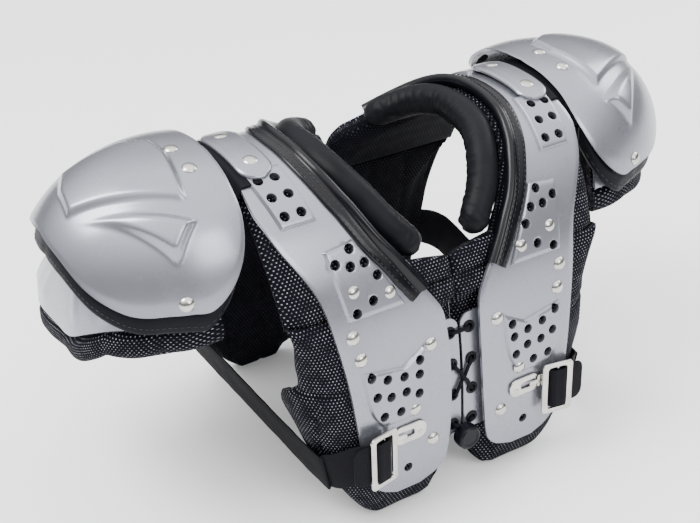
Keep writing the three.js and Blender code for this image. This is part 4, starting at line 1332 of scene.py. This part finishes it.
def belt():
    """Webbing that loops over the buckle's bar and goes round the side to the back plate."""
    half, slope = 0.75, math.tan(BUCKLE_TILT)
    outside, centre = 112.0, 96.5

    def below(x, layer):
        return BUCKLE_LIFT + max(x - BUCKLE_X, 0) * slope - layer * 1.8 + half

    over = BUCKLE_LIFT + (centre - BUCKLE_X) * slope + BUCKLE_THICK + half + 0.9
    front = [
        (outside + 14, below(outside, 1) - 1.5), (outside, below(outside, 1) - 0.3),
        (outside - 4.5, below(outside - 4.5, 1) + 0.2), (outside - 7.6, below(outside - 7.6, 1) + 2.0),
        (centre + 5.6, over + 0.9), (centre, over), (centre - 5.2, over - 0.9),
        (centre - 7.6, below(centre - 7.6, 1) + 0.8), (centre - 5.0, below(centre - 5, 2) + 0.2),
        (centre + 2, below(centre + 2, 2) - 0.1),
        (outside, below(outside, 2) - 0.6), (outside + 7, 4.0),
    ]
    front_up = (on_arch(0, -(METAL_ALONG - 1)) - on_arch(0, -(METAL_ALONG + 1))).normalized()
    back_up = (on_arch(0, 297) - on_arch(0, 299)).normalized()
    leaning = Vector((0.225, 0, 1)).normalized()
    points = [on_arch(x, -METAL_ALONG, lift) for x, lift in front]
    points += [Vector(p) for p in BELT_SIDE]
    points += [on_arch(112, 298, 1.65), on_arch(78, 298, 1.65)]
    rows, round_end = 420, 9.0
    path, length = smooth_path(points, rows)

    def up_at(p):
        share = ease(p.y, -146, -128) * (1 - ease(p.y, 128, 146))
        return (front_up if p.y < 0 else back_up).lerp(leaning, share).normalized()

    def place(u, v):
        i = round(v * rows)
        p = path[i]
        up = up_at(p)
        along = (path[min(i + 1, rows)] - path[max(i - 1, 0)]).normalized()
        across = along.cross(up).normalized()
        a, b = around(BELT_SECTION, u)
        from_end = min(v * length, round_end)
        reach = 11 + math.sqrt(max(round_end ** 2 - (round_end - from_end) ** 2, 0.5))
        a = math.copysign(min(abs(a), reach), a)
        sag = 0.5 * rough((i * 0.6, a * 0.4, 0), 9) * ease(abs(p.x), 126, 140)
        return p + up * a + across * (b + sag)

    def lay(u, v):
        return around(BELT_SECTION, u)[0] * MM, v * length * MM

    return loft(len(BELT_SECTION), rows, place, lay)


pair(belt(), "belt", WEBBING, "black_webbing", smooth=60)


# Floor, light and camera

def stage():
    """A floor, a sky that is dark below and bright above, and three lamps."""
    bm = bmesh.new()
    bmesh.ops.create_grid(bm, x_segments=1, y_segments=1, size=6.0)
    mesh = bpy.data.meshes.new("floor")
    bm.to_mesh(mesh)
    bm.free()
    floor = new_object("floor", mesh)
    white = Finish("floor_white", Base_Color=(0.93, 0.93, 0.93, 1), Roughness=0.9, Specular_IOR_Level=0.1)
    mesh.materials.append(white.material)

    world = bpy.context.scene.world or bpy.data.worlds.new("world")
    bpy.context.scene.world = world
    world.use_nodes = True
    sky = world.node_tree
    look = sky.nodes.new("ShaderNodeTexCoord")
    split = sky.nodes.new("ShaderNodeSeparateXYZ")
    tone = sky.nodes.new("ShaderNodeValToRGB")
    sky.links.new(look.outputs["Generated"], split.inputs[0])
    sky.links.new(split.outputs[2], tone.inputs[0])
    sky.links.new(tone.outputs[0], sky.nodes["Background"].inputs["Color"])
    sky.nodes["Background"].inputs["Strength"].default_value = 3.0
    stops = [(0.0, 0.06), (0.25, 0.10), (0.52, 0.50), (0.80, 1.0)]
    ramp = tone.color_ramp
    while len(ramp.elements) < len(stops):
        ramp.elements.new(0.5)
    for element, (spot, shade) in zip(ramp.elements, stops):
        element.position = spot
        element.color = (shade, shade, shade * 1.01, 1)
    for name, spot, size, power in (
        ("key", (-1.1, 0.3, 1.9), 1.0, 42),
        ("fill", (0.4, -2.2, 1.5), 1.2, 26),
        ("side", (1.8, 0.2, 1.2), 0.9, 16),
    ):
        lamp = bpy.data.lights.new(name, "AREA")
        lamp.size = size
        lamp.energy = power
        light = new_object(name, lamp)
        light.location = spot
        light.rotation_euler = (Vector((0, 0, 0.2)) - Vector(spot)).to_track_quat("-Z", "Y").to_euler()


def camera():
    """The photo's point of view."""
    turn, tip = math.radians(32.367), math.radians(31.560)
    lens = bpy.data.cameras.new("camera")
    lens.sensor_width = 36.0
    lens.lens = 64.29
    lens.clip_end = 50
    view = new_object("camera", lens)
    view.location = (-0.5615, -0.83075, 0.7865)
    view.rotation_euler = (math.pi / 2 - tip, 0, -turn)
    bpy.context.scene.camera = view


stage()
camera()
